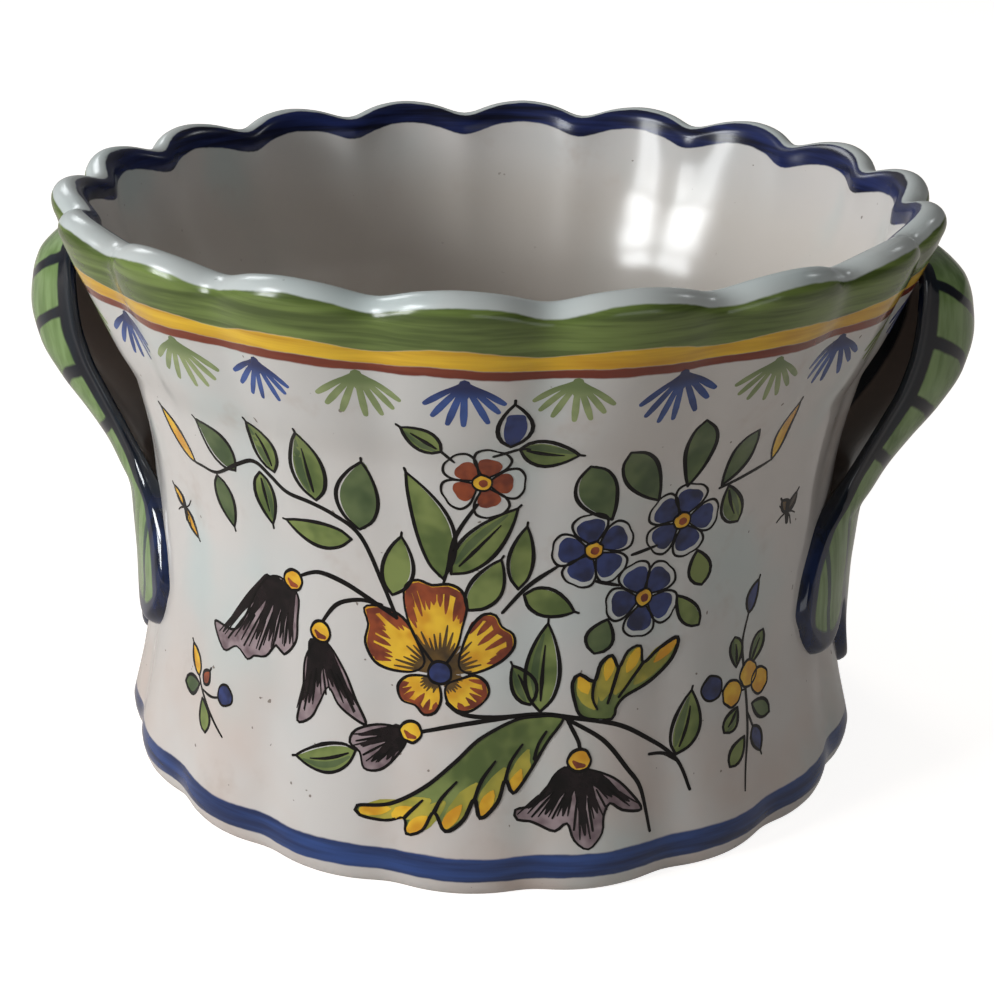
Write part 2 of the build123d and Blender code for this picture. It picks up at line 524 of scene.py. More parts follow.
@dataclass
class GeometryRule:
    """A Geometry Nodes tree with named inputs."""

    name: str
    inputs: tuple[tuple[str, str, object], ...]

    def __post_init__(self) -> None:
        """Make the tree with its inputs and its output."""
        self.tree = bpy.data.node_groups.new(self.name, "GeometryNodeTree")
        sockets = self.tree.interface
        sockets.new_socket("Geometry", in_out="INPUT", socket_type="NodeSocketGeometry")
        for label, kind, default in (*self.inputs, ("Material", "NodeSocketMaterial", None)):
            socket = sockets.new_socket(label, in_out="INPUT", socket_type=kind)
            if default is not None:
                socket.default_value = default
        sockets.new_socket("Geometry", in_out="OUTPUT", socket_type="NodeSocketGeometry")
        self.build = Tree(self.tree)
        self.given = self.build.add("NodeGroupInput").outputs
        self.result = self.build.add("NodeGroupOutput").inputs[0]

    def end(self, geometry: Socket) -> None:
        """Realize, set the material and hand the geometry out."""
        inputs = {"Geometry": self.build.realize(geometry), "Material": self.given["Material"]}
        self.build.put(self.build.add("GeometryNodeSetMaterial", inputs).outputs[0], self.result)

    def apply(self, base: bpy.types.Mesh, name: str, values: dict[str, object]) -> bpy.types.Object:
        """Run the tree on a mesh and keep the result as a plain mesh.

        Args:
            base: The mesh that goes in.
            name: Name of the new object.
            values: Input values by their names.

        Returns:
            The new object.
        """
        carrier = in_scene(name + "_base", base)
        modifier = carrier.modifiers.new("rule", "NODES")
        modifier.node_group = self.tree
        for item in self.tree.interface.items_tree:
            if item.item_type == "SOCKET" and item.in_out == "INPUT" and item.name in values:
                modifier[item.identifier] = values[item.name]
        graph = bpy.context.evaluated_depsgraph_get()
        mesh = bpy.data.meshes.new_from_object(carrier.evaluated_get(graph))
        bpy.data.objects.remove(carrier)
        mesh.name = name
        return in_scene(name, mesh)


def bowl_rule() -> GeometryRule:
    """Make the tree that turns rings into the lobed bowl.

    Returns:
        The rule.
    """
    rule = GeometryRule("Lobed bowl", (
        ("Lobes", "NodeSocketInt", 18),
        ("Lobe Strength", "NodeSocketFloat", 1.0),
        ("Unevenness", "NodeSocketFloat", UNEVENNESS),
    ))
    b, given = rule.build, rule.given
    turn = b.math("MULTIPLY", b.stored("turn"), math.tau)
    phase = b.math("MULTIPLY", turn, given["Lobes"])
    valley: object = VALLEY_MIDDLE
    for order, weight in VALLEY_WAVES:
        wave = b.math("COSINE", b.math("MULTIPLY", phase, order))
        valley = b.math("ADD", valley, b.math("MULTIPLY", wave, weight))
    valley = b.math("MULTIPLY", valley, given["Lobe Strength"])
    sine, cosine = b.math("SINE", turn), b.math("COSINE", turn)
    height, radius = (b.math("SUBTRACT", b.stored(size), b.math("MULTIPLY", b.stored(depth), valley))
                      for size, depth in (("height", "dip"), ("radius", "lobe")))
    read_radius = 0.09
    where = b.vector(b.math("MULTIPLY", sine, read_radius), b.math("MULTIPLY", cosine, read_radius), height)
    uneven = b.math("MULTIPLY", b.noise(where, 28.0, 1.0), given["Unevenness"])
    uneven = b.math("MULTIPLY", uneven, b.step(b.stored("radius"), 0.060, 0.075))
    radius = b.math("SUBTRACT", radius, uneven)
    ahead = b.math("MULTIPLY", b.math("MULTIPLY", radius, cosine), -1.0)
    rule.end(b.move(given["Geometry"], b.vector(b.math("MULTIPLY", radius, sine), ahead, height)))
    return rule


def add_wrap(rule: GeometryRule, geometry: Socket) -> Socket:
    """Add the nodes that lay a flat drawing on the bowl.

    Args:
        rule: The tree; it has the inputs Bowl and Radius.
        geometry: The flat drawing: way round, height and lift.

    Returns:
        The drawing on the bowl's skin.
    """
    b, given = rule.build, rule.given
    around, height, lift = b.parts(b.add("GeometryNodeInputPosition").outputs[0])
    turn = b.math("DIVIDE", around, given["Radius"])
    sine, cosine = b.math("SINE", turn), b.math("COSINE", turn)
    start = b.vector(b.math("MULTIPLY", sine, RAY_START), b.math("MULTIPLY", cosine, -RAY_START), height)
    bowl = b.add("GeometryNodeObjectInfo", {"Object": given["Bowl"]})
    ray = b.add("GeometryNodeRaycast", {
        "Target Geometry": bowl.outputs["Geometry"],
        "Source Position": start,
        "Ray Direction": b.vector(b.math("MULTIPLY", sine, -1.0), cosine, 0.0),
        "Ray Length": RAY_LENGTH,
    }).outputs
    out = b.add("ShaderNodeVectorMath", {0: ray["Hit Normal"], "Scale": lift}, operation="SCALE").outputs[0]
    place = b.add("ShaderNodeVectorMath", {0: ray["Hit Position"], 1: out}, operation="ADD").outputs[0]
    return b.move(geometry, place)


WRAP_INPUTS = (("Bowl", "NodeSocketObject", None), ("Radius", "NodeSocketFloat", DRAWING_RADIUS))


def paint_rule() -> GeometryRule:
    """Make the tree that wraps a flat drawing on the bowl.

    Returns:
        The rule.
    """
    rule = GeometryRule("Paint on bowl", WRAP_INPUTS)
    rule.end(add_wrap(rule, rule.given["Geometry"]))
    return rule


def ring_rule() -> GeometryRule:
    """Make the tree that repeats a motif round the bowl.

    Returns:
        The rule.
    """
    rule = GeometryRule("Motif ring on bowl", (
        *WRAP_INPUTS,
        ("Count", "NodeSocketInt", FAN_COUNT),
        ("First Turn", "NodeSocketFloat", 0.0),
        ("Height", "NodeSocketFloat", FAN_HEIGHT),
        ("Seed", "NodeSocketInt", 3),
    ))
    b, given = rule.build, rule.given
    gap = b.math("DIVIDE", math.tau, given["Count"])
    turn = b.math("MULTIPLY_ADD", b.add("GeometryNodeInputIndex").outputs[0], gap, given["First Turn"])
    spot = b.vector(b.math("MULTIPLY", turn, given["Radius"]), given["Height"], 0.0)
    dots = b.add("GeometryNodePoints", {"Count": given["Count"], "Position": spot})
    lean, grow = (b.random(*span, given["Seed"]) for span in (FAN_LEAN, FAN_GROWTH))
    copies = b.add("GeometryNodeInstanceOnPoints", {
        "Points": dots.outputs[0],
        "Instance": given["Geometry"],
        "Rotation": b.vector(0.0, 0.0, lean),
        "Scale": b.vector(grow, grow, 1.0),
    })
    rule.end(add_wrap(rule, b.realize(copies.outputs[0])))
    return rule


class Paint(Enum):
    """Glaze colours of the painted decor."""

    OUTLINE = "outline"
    LEAF = "leaf"
    LEAF_DEEP = "leaf_deep"
    YELLOW = "yellow"
    LIME = "lime"
    RUST = "rust"
    BLUE = "blue"
    AUBERGINE = "aubergine"
    WASH = "wash"
    UMBER = "umber"
    FAN_BLUE = "fan_blue"
    FAN_GREEN = "fan_green"


@dataclass(frozen=True)
class Finish:
    """Two tones of one glaze colour, and how far it stands off the wall."""

    light: Colour
    deep: Colour
    lift: float
    patch: float = 240.0
    gloss: float = 0.16
    shine: float = 0.5
    pooled: bool = False


FINISHES: dict[Paint, Finish] = {
    Paint.OUTLINE: Finish(srgb(18, 14, 13), srgb(8, 6, 7), 0.068, shine=0.22),
    Paint.LEAF: Finish(srgb(128, 142, 78), srgb(82, 100, 48), 0.016, 120.0),
    Paint.LEAF_DEEP: Finish(srgb(94, 110, 68), srgb(60, 80, 44), 0.020, 120.0),
    Paint.YELLOW: Finish(srgb(240, 194, 50), srgb(214, 150, 28), 0.032, 160.0),
    Paint.LIME: Finish(srgb(186, 172, 66), srgb(146, 144, 56), 0.026, 160.0),
    Paint.RUST: Finish(srgb(150, 68, 32), srgb(108, 42, 22), 0.044),
    Paint.BLUE: Finish(srgb(42, 58, 116), srgb(20, 28, 66), 0.032, 200.0),
    Paint.AUBERGINE: Finish(srgb(32, 23, 25), srgb(12, 9, 10), 0.036, shine=0.25),
    Paint.WASH: Finish(srgb(160, 142, 146), srgb(108, 88, 94), 0.020, 200.0),
    Paint.UMBER: Finish(srgb(96, 70, 26), srgb(58, 42, 18), 0.056),
    Paint.FAN_BLUE: Finish(srgb(54, 84, 152), srgb(24, 36, 86), 0.020, 160.0, pooled=True),
    Paint.FAN_GREEN: Finish(srgb(152, 165, 114), srgb(108, 125, 78), 0.020, 160.0, pooled=True),
}


def smooth_path(points: list[Point], spacing: float, closed: bool = False) -> list[Point]:
    """Draw a smooth line through points.

    Args:
        points: Points on the line.
        spacing: Distance between the points that come back.
        closed: Whether the line comes back to its start.

    Returns:
        Points along the line; a closed one doesn't repeat its first.
    """
    count = len(points)
    line: list[Point] = []
    for index in range(count if closed else count - 1):
        near = [index + shift for shift in (-1, 0, 1, 2)]
        picks = [points[i % count] if closed else points[min(max(i, 0), count - 1)] for i in near]
        pieces = max(int(math.hypot(picks[2][0] - picks[1][0], picks[2][1] - picks[1][1]) / spacing), 1)
        for step in range(pieces):
            t = step / pieces
            w = (-t + 2 * t * t - t ** 3, 2 - 5 * t * t + 3 * t ** 3,
                 t + 4 * t * t - 3 * t ** 3, t ** 3 - t * t)
            x, y = (w[0] * a + w[1] * b + w[2] * c + w[3] * d for a, b, c, d in zip(*picks))
            line.append((x / 2, y / 2))
    if not closed:
        line.append(points[-1])
    return line


def ribbon(points: list[Point], widths: list[float]) -> list[Point]:
    """Give a line a width, with round ends.

    Args:
        points: Points along the line.
        widths: Full widths spread evenly along it.

    Returns:
        The outline.
    """
    left: list[Point] = []
    right: list[Point] = []
    last = len(points) - 1
    for index, (x, y) in enumerate(points):
        (ax, ay), (bx, by) = points[max(index - 1, 0)], points[min(index + 1, last)]
        length = math.hypot(bx - ax, by - ay) or 1.0
        nx, ny = -(by - ay) / length, (bx - ax) / length
        place = index / max(last, 1) * (len(widths) - 1)
        low = min(int(place), len(widths) - 2)
        half = (widths[low] + (widths[low + 1] - widths[low]) * (place - low)) / 2
        left.append((x + nx * half, y + ny * half))
        right.append((x - nx * half, y - ny * half))
    caps: list[list[Point]] = []
    for index, other in ((last, last - 1), (0, 1)):
        (x, y), (ox, oy) = points[index], points[other]
        length = math.hypot(x - ox, y - oy) or 1.0
        half = widths[-1 if index else 0] / 2
        ux, uy = (x - ox) / length * half, (y - oy) / length * half
        turns = [(math.cos(a), math.sin(a)) for a in map(math.radians, (50, 0, -50))]
        caps.append([(x + ux * cosine - uy * sine, y + uy * cosine + ux * sine) for cosine, sine in turns])
    return left + caps[0] + right[::-1] + caps[1]


class Patches:
    """Flat, thin, closed patches of one paint."""

    def __init__(self) -> None:
        """Start with no patch."""
        self.points: list[Place] = []
        self.faces: list[Face] = []
        self.smooth: list[bool] = []

    def add(self, outline: list[Point], lift: float) -> None:
        """Add one patch.

        Args:
            outline: Its outline in millimetres.
            lift: How far its face stands off the wall.
        """
        edge = [Vector(point) for point in outline]
        ties = [(index, (index + 1) % len(edge)) for index in range(len(edge))]
        xs, ys = [p.x for p in edge], [p.y for p in edge]
        wide, high = max(xs) - min(xs), max(ys) - min(ys)
        inner = []
        if min(wide, high) > PATCH_GRID_LEAST:
            inner = [Vector((min(xs) + (i + 0.5) * PATCH_GRID, min(ys) + (j + 0.5) * PATCH_GRID))
                     for i in range(int(wide / PATCH_GRID)) for j in range(int(high / PATCH_GRID))]
        spots, _, cells, *_ = delaunay_2d_cdt(edge + inner, ties, [], 1, PATCH_MERGE)
        first, count = len(self.points), len(spots)
        self.points += [(p.x, p.y, level) for level in (lift, PATCH_ROOT) for p in spots]
        border: dict[tuple[int, int], bool] = {}
        for a, b, c in cells:
            if (spots[b] - spots[a]).cross(spots[c] - spots[a]) < 0:
                b, c = c, b
            self.take((first + a, first + b, first + c), True)
            self.take((first + count + c, first + count + b, first + count + a), False)
            border.update(dict.fromkeys(((a, b), (b, c), (c, a)), True))
        for a, b in border:
            if (b, a) not in border:
                self.take((first + count + a, first + count + b, first + b, first + a), False)

    def take(self, face: Face, smooth: bool) -> None:
        """Keep one face, and whether it is shaded smooth."""
        self.faces.append(face)
        self.smooth.append(smooth)

    def mesh(self, name: str) -> bpy.types.Mesh:
        """Turn the patches into a mesh.

        Args:
            name: The mesh's name.

        Returns:
            The flat mesh in metres, without loose points.
        """
        used = sorted({corner for face in self.faces for corner in face})
        place = {old: new for new, old in enumerate(used)}
        mesh = bpy.data.meshes.new(name)
        points = [tuple(value * MM for value in self.points[old]) for old in used]
        mesh.from_pydata(points, [], [tuple(place[corner] for corner in face) for face in self.faces])
        mesh.polygons.foreach_set("use_smooth", self.smooth)
        sides: dict[tuple[int, int], set[bool]] = {}
        for face, smooth in zip(mesh.polygons, self.smooth):
            for key in face.edge_keys:
                sides.setdefault(key, set()).add(smooth)
        for edge in mesh.edges:
            edge.use_edge_sharp = len(sides[edge.key]) == 2
        mesh.update()
        return mesh


# Leaves: root, point, width and colour
LEAVES: tuple[tuple[Point, Point, float, Paint], ...] = (
    ((-49.9, 84.1), (-58.6, 93.5), 7.0, Paint.LEAF_DEEP), ((-39.4, 86.4), (-43.3, 97.1), 5.5, Paint.LEAF),
    ((-29.8, 82.4), (-31.1, 97.8), 7.5, Paint.LEAF), ((-21.0, 77.3), (-19.2, 92.9), 8.5, Paint.LEAF_DEEP),
    ((-22.9, 74.8), (-38.2, 75.9), 5.5, Paint.LEAF), ((-56.2, 81.3), (-53.3, 70.2), 5.5, Paint.LEAF_DEEP),
    ((-43.4, 85.4), (-42.1, 73.8), 5.0, Paint.LEAF), ((-14.7, 63.5), (-12.5, 76.8), 6.5, Paint.LEAF),
    ((-3.6, 97.5), (-10.5, 102.3), 5.0, Paint.LEAF), ((10.2, 98.2), (21.0, 96.5), 6.0, Paint.LEAF),
    ((-4.1, 68.3), (-10.7, 91.6), 7.5, Paint.LEAF), ((-2.5, 69.5), (10.4, 84.5), 7.0, Paint.LEAF),
    ((0.9, 61.8), (7.4, 73.0), 6.5, Paint.LEAF), ((10.9, 66.3), (12.3, 80.3), 5.0, Paint.LEAF),
    ((12.1, 65.0), (22.4, 61.0), 6.0, Paint.LEAF), ((15.7, 39.5), (17.1, 58.7), 7.0, Paint.LEAF),
    ((13.7, 41.1), (10.0, 49.8), 5.0, Paint.LEAF), ((45.0, 26.1), (49.2, 39.4), 6.5, Paint.LEAF),
    ((-21.7, 28.8), (-35.2, 24.5), 6.0, Paint.LEAF), ((-64.3, 81.7), (-74.8, 91.3), 4.0, Paint.YELLOW),
    ((66.4, 87.0), (68.7, 99.9), 4.0, Paint.YELLOW), ((-66.5, 31.2), (-70.4, 37.4), 3.4, Paint.YELLOW),
    ((-64.0, 30.5), (-62.0, 34.2), 3.0, Paint.RUST), ((65.6, 52.0), (69.0, 58.6), 3.6, Paint.BLUE),
    ((66.2, 26.0), (68.2, 19.6), 3.8, Paint.BLUE), ((8.5, 98.9), (9.0, 108.6), 6.0, Paint.BLUE),
)
ROUND_LEAVES: tuple[tuple[Point, Point, float, Paint], ...] = (
    ((28.9, 81.0), (23.4, 93.6), 8.0, Paint.LEAF_DEEP), ((38.6, 83.8), (30.5, 96.3), 7.0, Paint.LEAF_DEEP),
    ((44.7, 85.9), (44.6, 101.4), 6.0, Paint.LEAF_DEEP), ((52.7, 84.7), (58.3, 96.3), 5.5, Paint.LEAF_DEEP),
    ((54.6, 84.2), (59.5, 74.7), 5.5, Paint.LEAF), ((49.5, 70.4), (51.2, 62.4), 5.5, Paint.LEAF),
    ((45.3, 61.1), (50.8, 53.6), 4.5, Paint.LEAF), ((29.4, 58.7), (26.6, 51.6), 6.0, Paint.LEAF_DEEP),
    ((61.5, 41.0), (61.0, 48.0), 4.0, Paint.LEAF), ((66.2, 39.8), (71.0, 46.5), 4.0, Paint.LEAF),
    ((61.5, 32.0), (57.0, 27.8), 4.0, Paint.LEAF), ((66.5, 31.0), (72.2, 27.0), 4.0, Paint.LEAF_DEEP),
    ((63.0, 25.0), (57.8, 20.0), 4.0, Paint.LEAF), ((-66.0, 29.5), (-72.2, 27.6), 4.2, Paint.LEAF_DEEP),
    ((-64.0, 27.2), (-61.0, 20.5), 4.2, Paint.LEAF),
)

# Stems: points along them and width
STEMS: tuple[tuple[Outline, float], ...] = (
    (((-13.8, 58.6), (-17.0, 66.4), (-21.1, 76.0), (-26.2, 79.8), (-31.3, 81.6), (-37.0, 82.6),
     (-40.7, 85.2), (-44.4, 87.6), (-48.7, 86.0), (-55.9, 82.0), (-61.2, 81.8), (-64.3, 81.7)), 0.9),
    (((-13.8, 58.6), (-20.5, 62.6), (-25.6, 65.0), (-30.9, 65.9), (-35.6, 64.0)), 1.0),
    (((-17.0, 61.0), (-21.4, 61.6), (-26.6, 59.8), (-30.2, 55.0)), 1.0),
    (((2.7, 85.5), (-1.5, 78.1), (-3.1, 71.0), (-4.1, 67.2)), 0.9),
    (((7.8, 61.3), (12.7, 66.7), (19.0, 71.3)), 0.9),
    (((52.3, 84.1), (60.0, 85.9), (66.4, 87.0)), 0.7),
    (((34.0, 72.2), (39.7, 73.3)), 0.8),
    (((26.6, 67.3), (31.6, 65.8)), 0.8),
    (((5.6, 96.6), (10.2, 98.2), (12.0, 98.0)), 0.7),
    (((-3.6, 97.5), (-1.4, 95.0)), 0.7),
    (((-3.0, 41.5), (0.2, 39.3), (7.1, 38.7), (15.3, 38.9), (20.4, 38.4), (30.9, 35.8), (37.8, 31.6),
     (44.9, 25.3), (47.6, 18.0)), 1.1),
    (((21.0, 37.9), (28.5, 32.7), (33.6, 25.7), (36.5, 20.6), (38.0, 11.3)), 1.0),
    (((21.4, 37.3), (23.6, 32.4), (23.6, 29.6)), 0.9),
    (((-8.3, 34.7), (-2.0, 36.6), (3.7, 37.8), (9.0, 38.4)), 0.9),
    (((38.8, 27.5), (42.4, 26.8), (45.2, 24.6)), 0.8),
    (((65.6, 52.0), (63.6, 46.3), (64.0, 40.0), (64.6, 33.0), (64.2, 26.0), (62.6, 19.0), (61.5, 13.4)),
     0.7),
    (((54.4, 38.5), (59.5, 36.0), (64.4, 35.0)), 0.6),
    (((66.2, 26.0), (64.6, 30.0)), 0.6),
    (((-66.5, 31.2), (-64.7, 29.1), (-60.5, 25.6), (-55.1, 21.9)), 0.7),
    (((-55.8, 31.0), (-60.0, 29.0), (-64.7, 29.1)), 0.6),
)

# Large yellow flower: petals round its centre
PANSY_CENTRE: Point = (-4.6, 47.9)
PANSY: tuple[Outline, ...] = (
    ((-7.6, 14.1), (-7.3, 18.1), (-4.7, 19.6), (-1.8, 18.8), (1.5, 19.3), (4.1, 18.1), (5.3, 14.8),
     (4.4, 10.1), (3.2, 5.4), (0.0, 1.3), (-3.5, 4.7), (-6.1, 8.7)),
    ((-16.1, 12.1), (-13.5, 12.9), (-9.9, 12.1), (-7.0, 10.1), (-4.7, 6.0), (-3.2, 2.0), (-5.3, -0.3),
     (-9.9, -0.7), (-13.7, 0.7), (-15.8, 4.7), (-15.2, 8.7)),
    ((3.8, 2.0), (4.7, 6.7), (6.4, 10.7), (8.8, 13.1), (11.1, 12.8), (12.3, 10.4), (14.6, 8.7),
     (14.9, 6.0), (12.9, 3.4), (9.4, 1.3), (5.8, 0.3)),
    ((-1.2, -1.3), (-4.1, -1.0), (-7.0, -1.7), (-8.8, -4.0), (-7.9, -7.0), (-5.0, -7.7), (-3.2, -9.4),
     (-0.9, -8.7), (0.3, -6.0), (0.0, -3.0)),
    ((1.5, -2.3), (4.1, -1.0), (7.0, -0.1), (9.4, -1.7), (9.8, -4.4), (7.6, -7.0), (5.0, -8.1),
     (2.3, -7.0), (1.2, -4.7)),
)

# Outlines of the bells, the large leaves and one petal
BELL_LEFT: Outline = (
    (-43.9, 61.6), (-40.0, 62.0), (-36.2, 59.4), (-36.3, 54.2), (-36.7, 49.1), (-39.9, 45.3),
    (-42.1, 46.7), (-44.8, 43.5), (-48.0, 42.7), (-49.7, 41.4), (-53.0, 43.3), (-57.3, 41.1),
    (-60.8, 46.3), (-54.0, 46.8), (-50.4, 51.3), (-47.6, 57.4),
)
BELL_HANGING: Outline = (
    (-31.0, 51.3), (-28.1, 50.2), (-24.6, 45.1), (-22.2, 39.6), (-19.9, 34.7), (-23.3, 36.0),
    (-26.1, 38.0), (-28.4, 41.2), (-30.5, 37.0), (-32.3, 33.5), (-35.6, 32.0), (-34.5, 39.2),
    (-34.1, 46.2),
)
BELL_SMALL: Outline = (
    (-12.7, 34.6), (-11.3, 32.2), (-13.8, 27.9), (-16.6, 25.3), (-19.8, 25.3), (-20.9, 28.6),
    (-23.1, 30.3), (-22.0, 33.1), (-17.5, 34.9),
)
BELL_LOW: Outline = (
    (21.1, 27.6), (25.8, 26.7), (30.6, 24.3), (34.1, 20.5), (36.4, 16.4), (32.2, 17.2), (29.6, 19.1),
    (28.2, 16.6), (27.7, 13.2), (24.9, 10.2), (22.2, 12.2), (20.9, 15.8), (18.5, 14.2), (15.6, 15.4),
    (13.7, 16.3), (11.2, 16.8), (10.8, 18.9), (14.1, 19.6), (16.7, 22.6), (18.7, 26.1),
)
LEAF_LONG: Outline = (
    (20.4, 38.2), (17.1, 32.8), (13.7, 26.8), (10.4, 22.5), (8.8, 25.5), (7.3, 20.8), (4.0, 17.6),
    (2.8, 21.6), (0.7, 17.1), (-2.7, 14.6), (-5.0, 18.3), (-7.2, 14.2), (-10.4, 12.8), (-11.0, 16.0),
    (-14.8, 14.8), (-20.0, 15.4), (-20.6, 17.3), (-14.2, 18.4), (-7.5, 22.9), (-1.1, 29.2), (3.7, 34.2),
    (10.3, 37.8), (15.3, 38.5),
)
LEAF_FAN: Outline = (
    (30.5, 36.9), (24.4, 38.0), (22.7, 41.6), (22.2, 45.6), (23.7, 47.4), (26.7, 45.6), (28.1, 49.3),
    (30.5, 50.7), (32.0, 47.9), (34.0, 51.1), (36.9, 51.7), (37.6, 47.9), (41.3, 50.2), (45.7, 51.9),
    (44.5, 47.6), (39.7, 43.7), (33.4, 41.3), (31.4, 39.1),
)
PETAL: Outline = (
    (0.16, 0.0), (0.34, 0.22), (0.58, 0.4), (0.84, 0.42), (1.0, 0.22), (1.01, 0.0), (1.0, -0.22),
    (0.84, -0.42), (0.58, -0.4), (0.34, -0.22),
)


@dataclass(frozen=True)
class Bell:
    """A hanging bell flower: its outline, its root's two ends, its calyx and the tips of its folds."""

    outline: Outline
    roots: tuple[Point, Point]
    calyx: Point
    tips: Outline


BELLS: tuple[Bell, ...] = (
    Bell(BELL_LEFT, ((-44.4, 60.8), (-38.2, 60.2)), (-37.4, 62.6),
         ((-58.5, 44.0), (-53.0, 44.6), (-48.6, 43.8), (-44.6, 45.2), (-41.4, 47.0), (-38.4, 47.4))),
    Bell(BELL_HANGING, ((-32.0, 49.8), (-29.4, 49.6)), (-30.4, 53.0),
         ((-35.0, 34.0), (-33.0, 36.0), (-31.0, 38.8), (-26.8, 40.2), (-23.6, 38.0), (-21.2, 36.2))),
    Bell(BELL_SMALL, ((-13.4, 34.0), (-12.4, 32.6)), (-10.4, 34.4),
         ((-22.0, 32.0), (-21.6, 29.6), (-18.6, 26.6), (-15.4, 27.4))),
    Bell(BELL_LOW, ((20.8, 26.4), (26.4, 25.4)), (23.6, 28.8),
         ((12.0, 17.6), (16.2, 16.8), (20.0, 17.0), (24.4, 11.8), (27.4, 16.0), (30.4, 20.0), (35.2, 17.4))),
)


@dataclass(frozen=True)
class CutLeaf:
    """A large leaf: its outline, the point and root of each yellow tooth, and the strokes that part them."""

    outline: Outline
    teeth: tuple[tuple[Point, Point], ...]
    cuts: tuple[Outline, ...]


CUT_LEAVES: tuple[CutLeaf, ...] = (
    CutLeaf(LEAF_LONG,
            (((10.4, 23.4), (13.0, 30.0)), ((4.2, 18.8), (8.0, 26.4)), ((-2.7, 15.8), (2.4, 23.4)),
             ((-9.8, 13.8), (-4.0, 19.6)), ((-19.6, 16.4), (-10.0, 18.0)), ((-13.0, 16.2), (-7.0, 20.0))),
            (((8.8, 25.5), (9.8, 29.0), (12.2, 32.6)), ((2.8, 21.6), (4.2, 25.6), (6.8, 29.4)),
             ((-5.0, 18.3), (-3.6, 21.4), (-0.8, 25.0)), ((-11.0, 16.0), (-9.8, 17.6), (-7.4, 20.4)),
             ((14.6, 29.4), (15.4, 32.4), (17.0, 35.2)))),
    CutLeaf(LEAF_FAN,
            (((23.9, 46.6), (26.4, 40.6)), ((30.3, 49.8), (28.6, 42.6)), ((36.4, 50.8), (32.0, 43.6)),
             ((44.9, 51.2), (37.0, 44.8))),
            (((26.7, 45.6), (26.4, 42.0), (27.4, 39.4)), ((32.0, 47.9), (30.8, 44.0), (29.6, 40.4)),
             ((37.6, 47.9), (35.0, 45.0), (32.0, 41.4)))),
)

# Flowers: centre, radius, colour, lean in degrees and share of a petal that the colour fills
FLOWERS: tuple[tuple[Point, float, Paint, float, float], ...] = (
    ((3.6, 90.4), 7.8, Paint.RUST, -22.0, 0.66), ((25.8, 74.3), 8.2, Paint.BLUE, 10.0, 0.80),
    ((44.8, 78.0), 8.2, Paint.BLUE, -14.0, 0.80), ((37.3, 62.2), 8.2, Paint.BLUE, 24.0, 0.80),
)

# Berries: colour, centre, radius and width of the line round them
BERRIES: tuple[tuple[Paint, Point, float, float], ...] = (
    (Paint.YELLOW, (60.1, 35.5), 2.9, 0.55), (Paint.YELLOW, (65.7, 38.2), 2.9, 0.55),
    (Paint.YELLOW, (69.4, 35.3), 2.9, 0.55), (Paint.BLUE, (54.4, 38.5), 2.8, 0.5),
    (Paint.BLUE, (-55.8, 31.0), 2.3, 0.5),
)


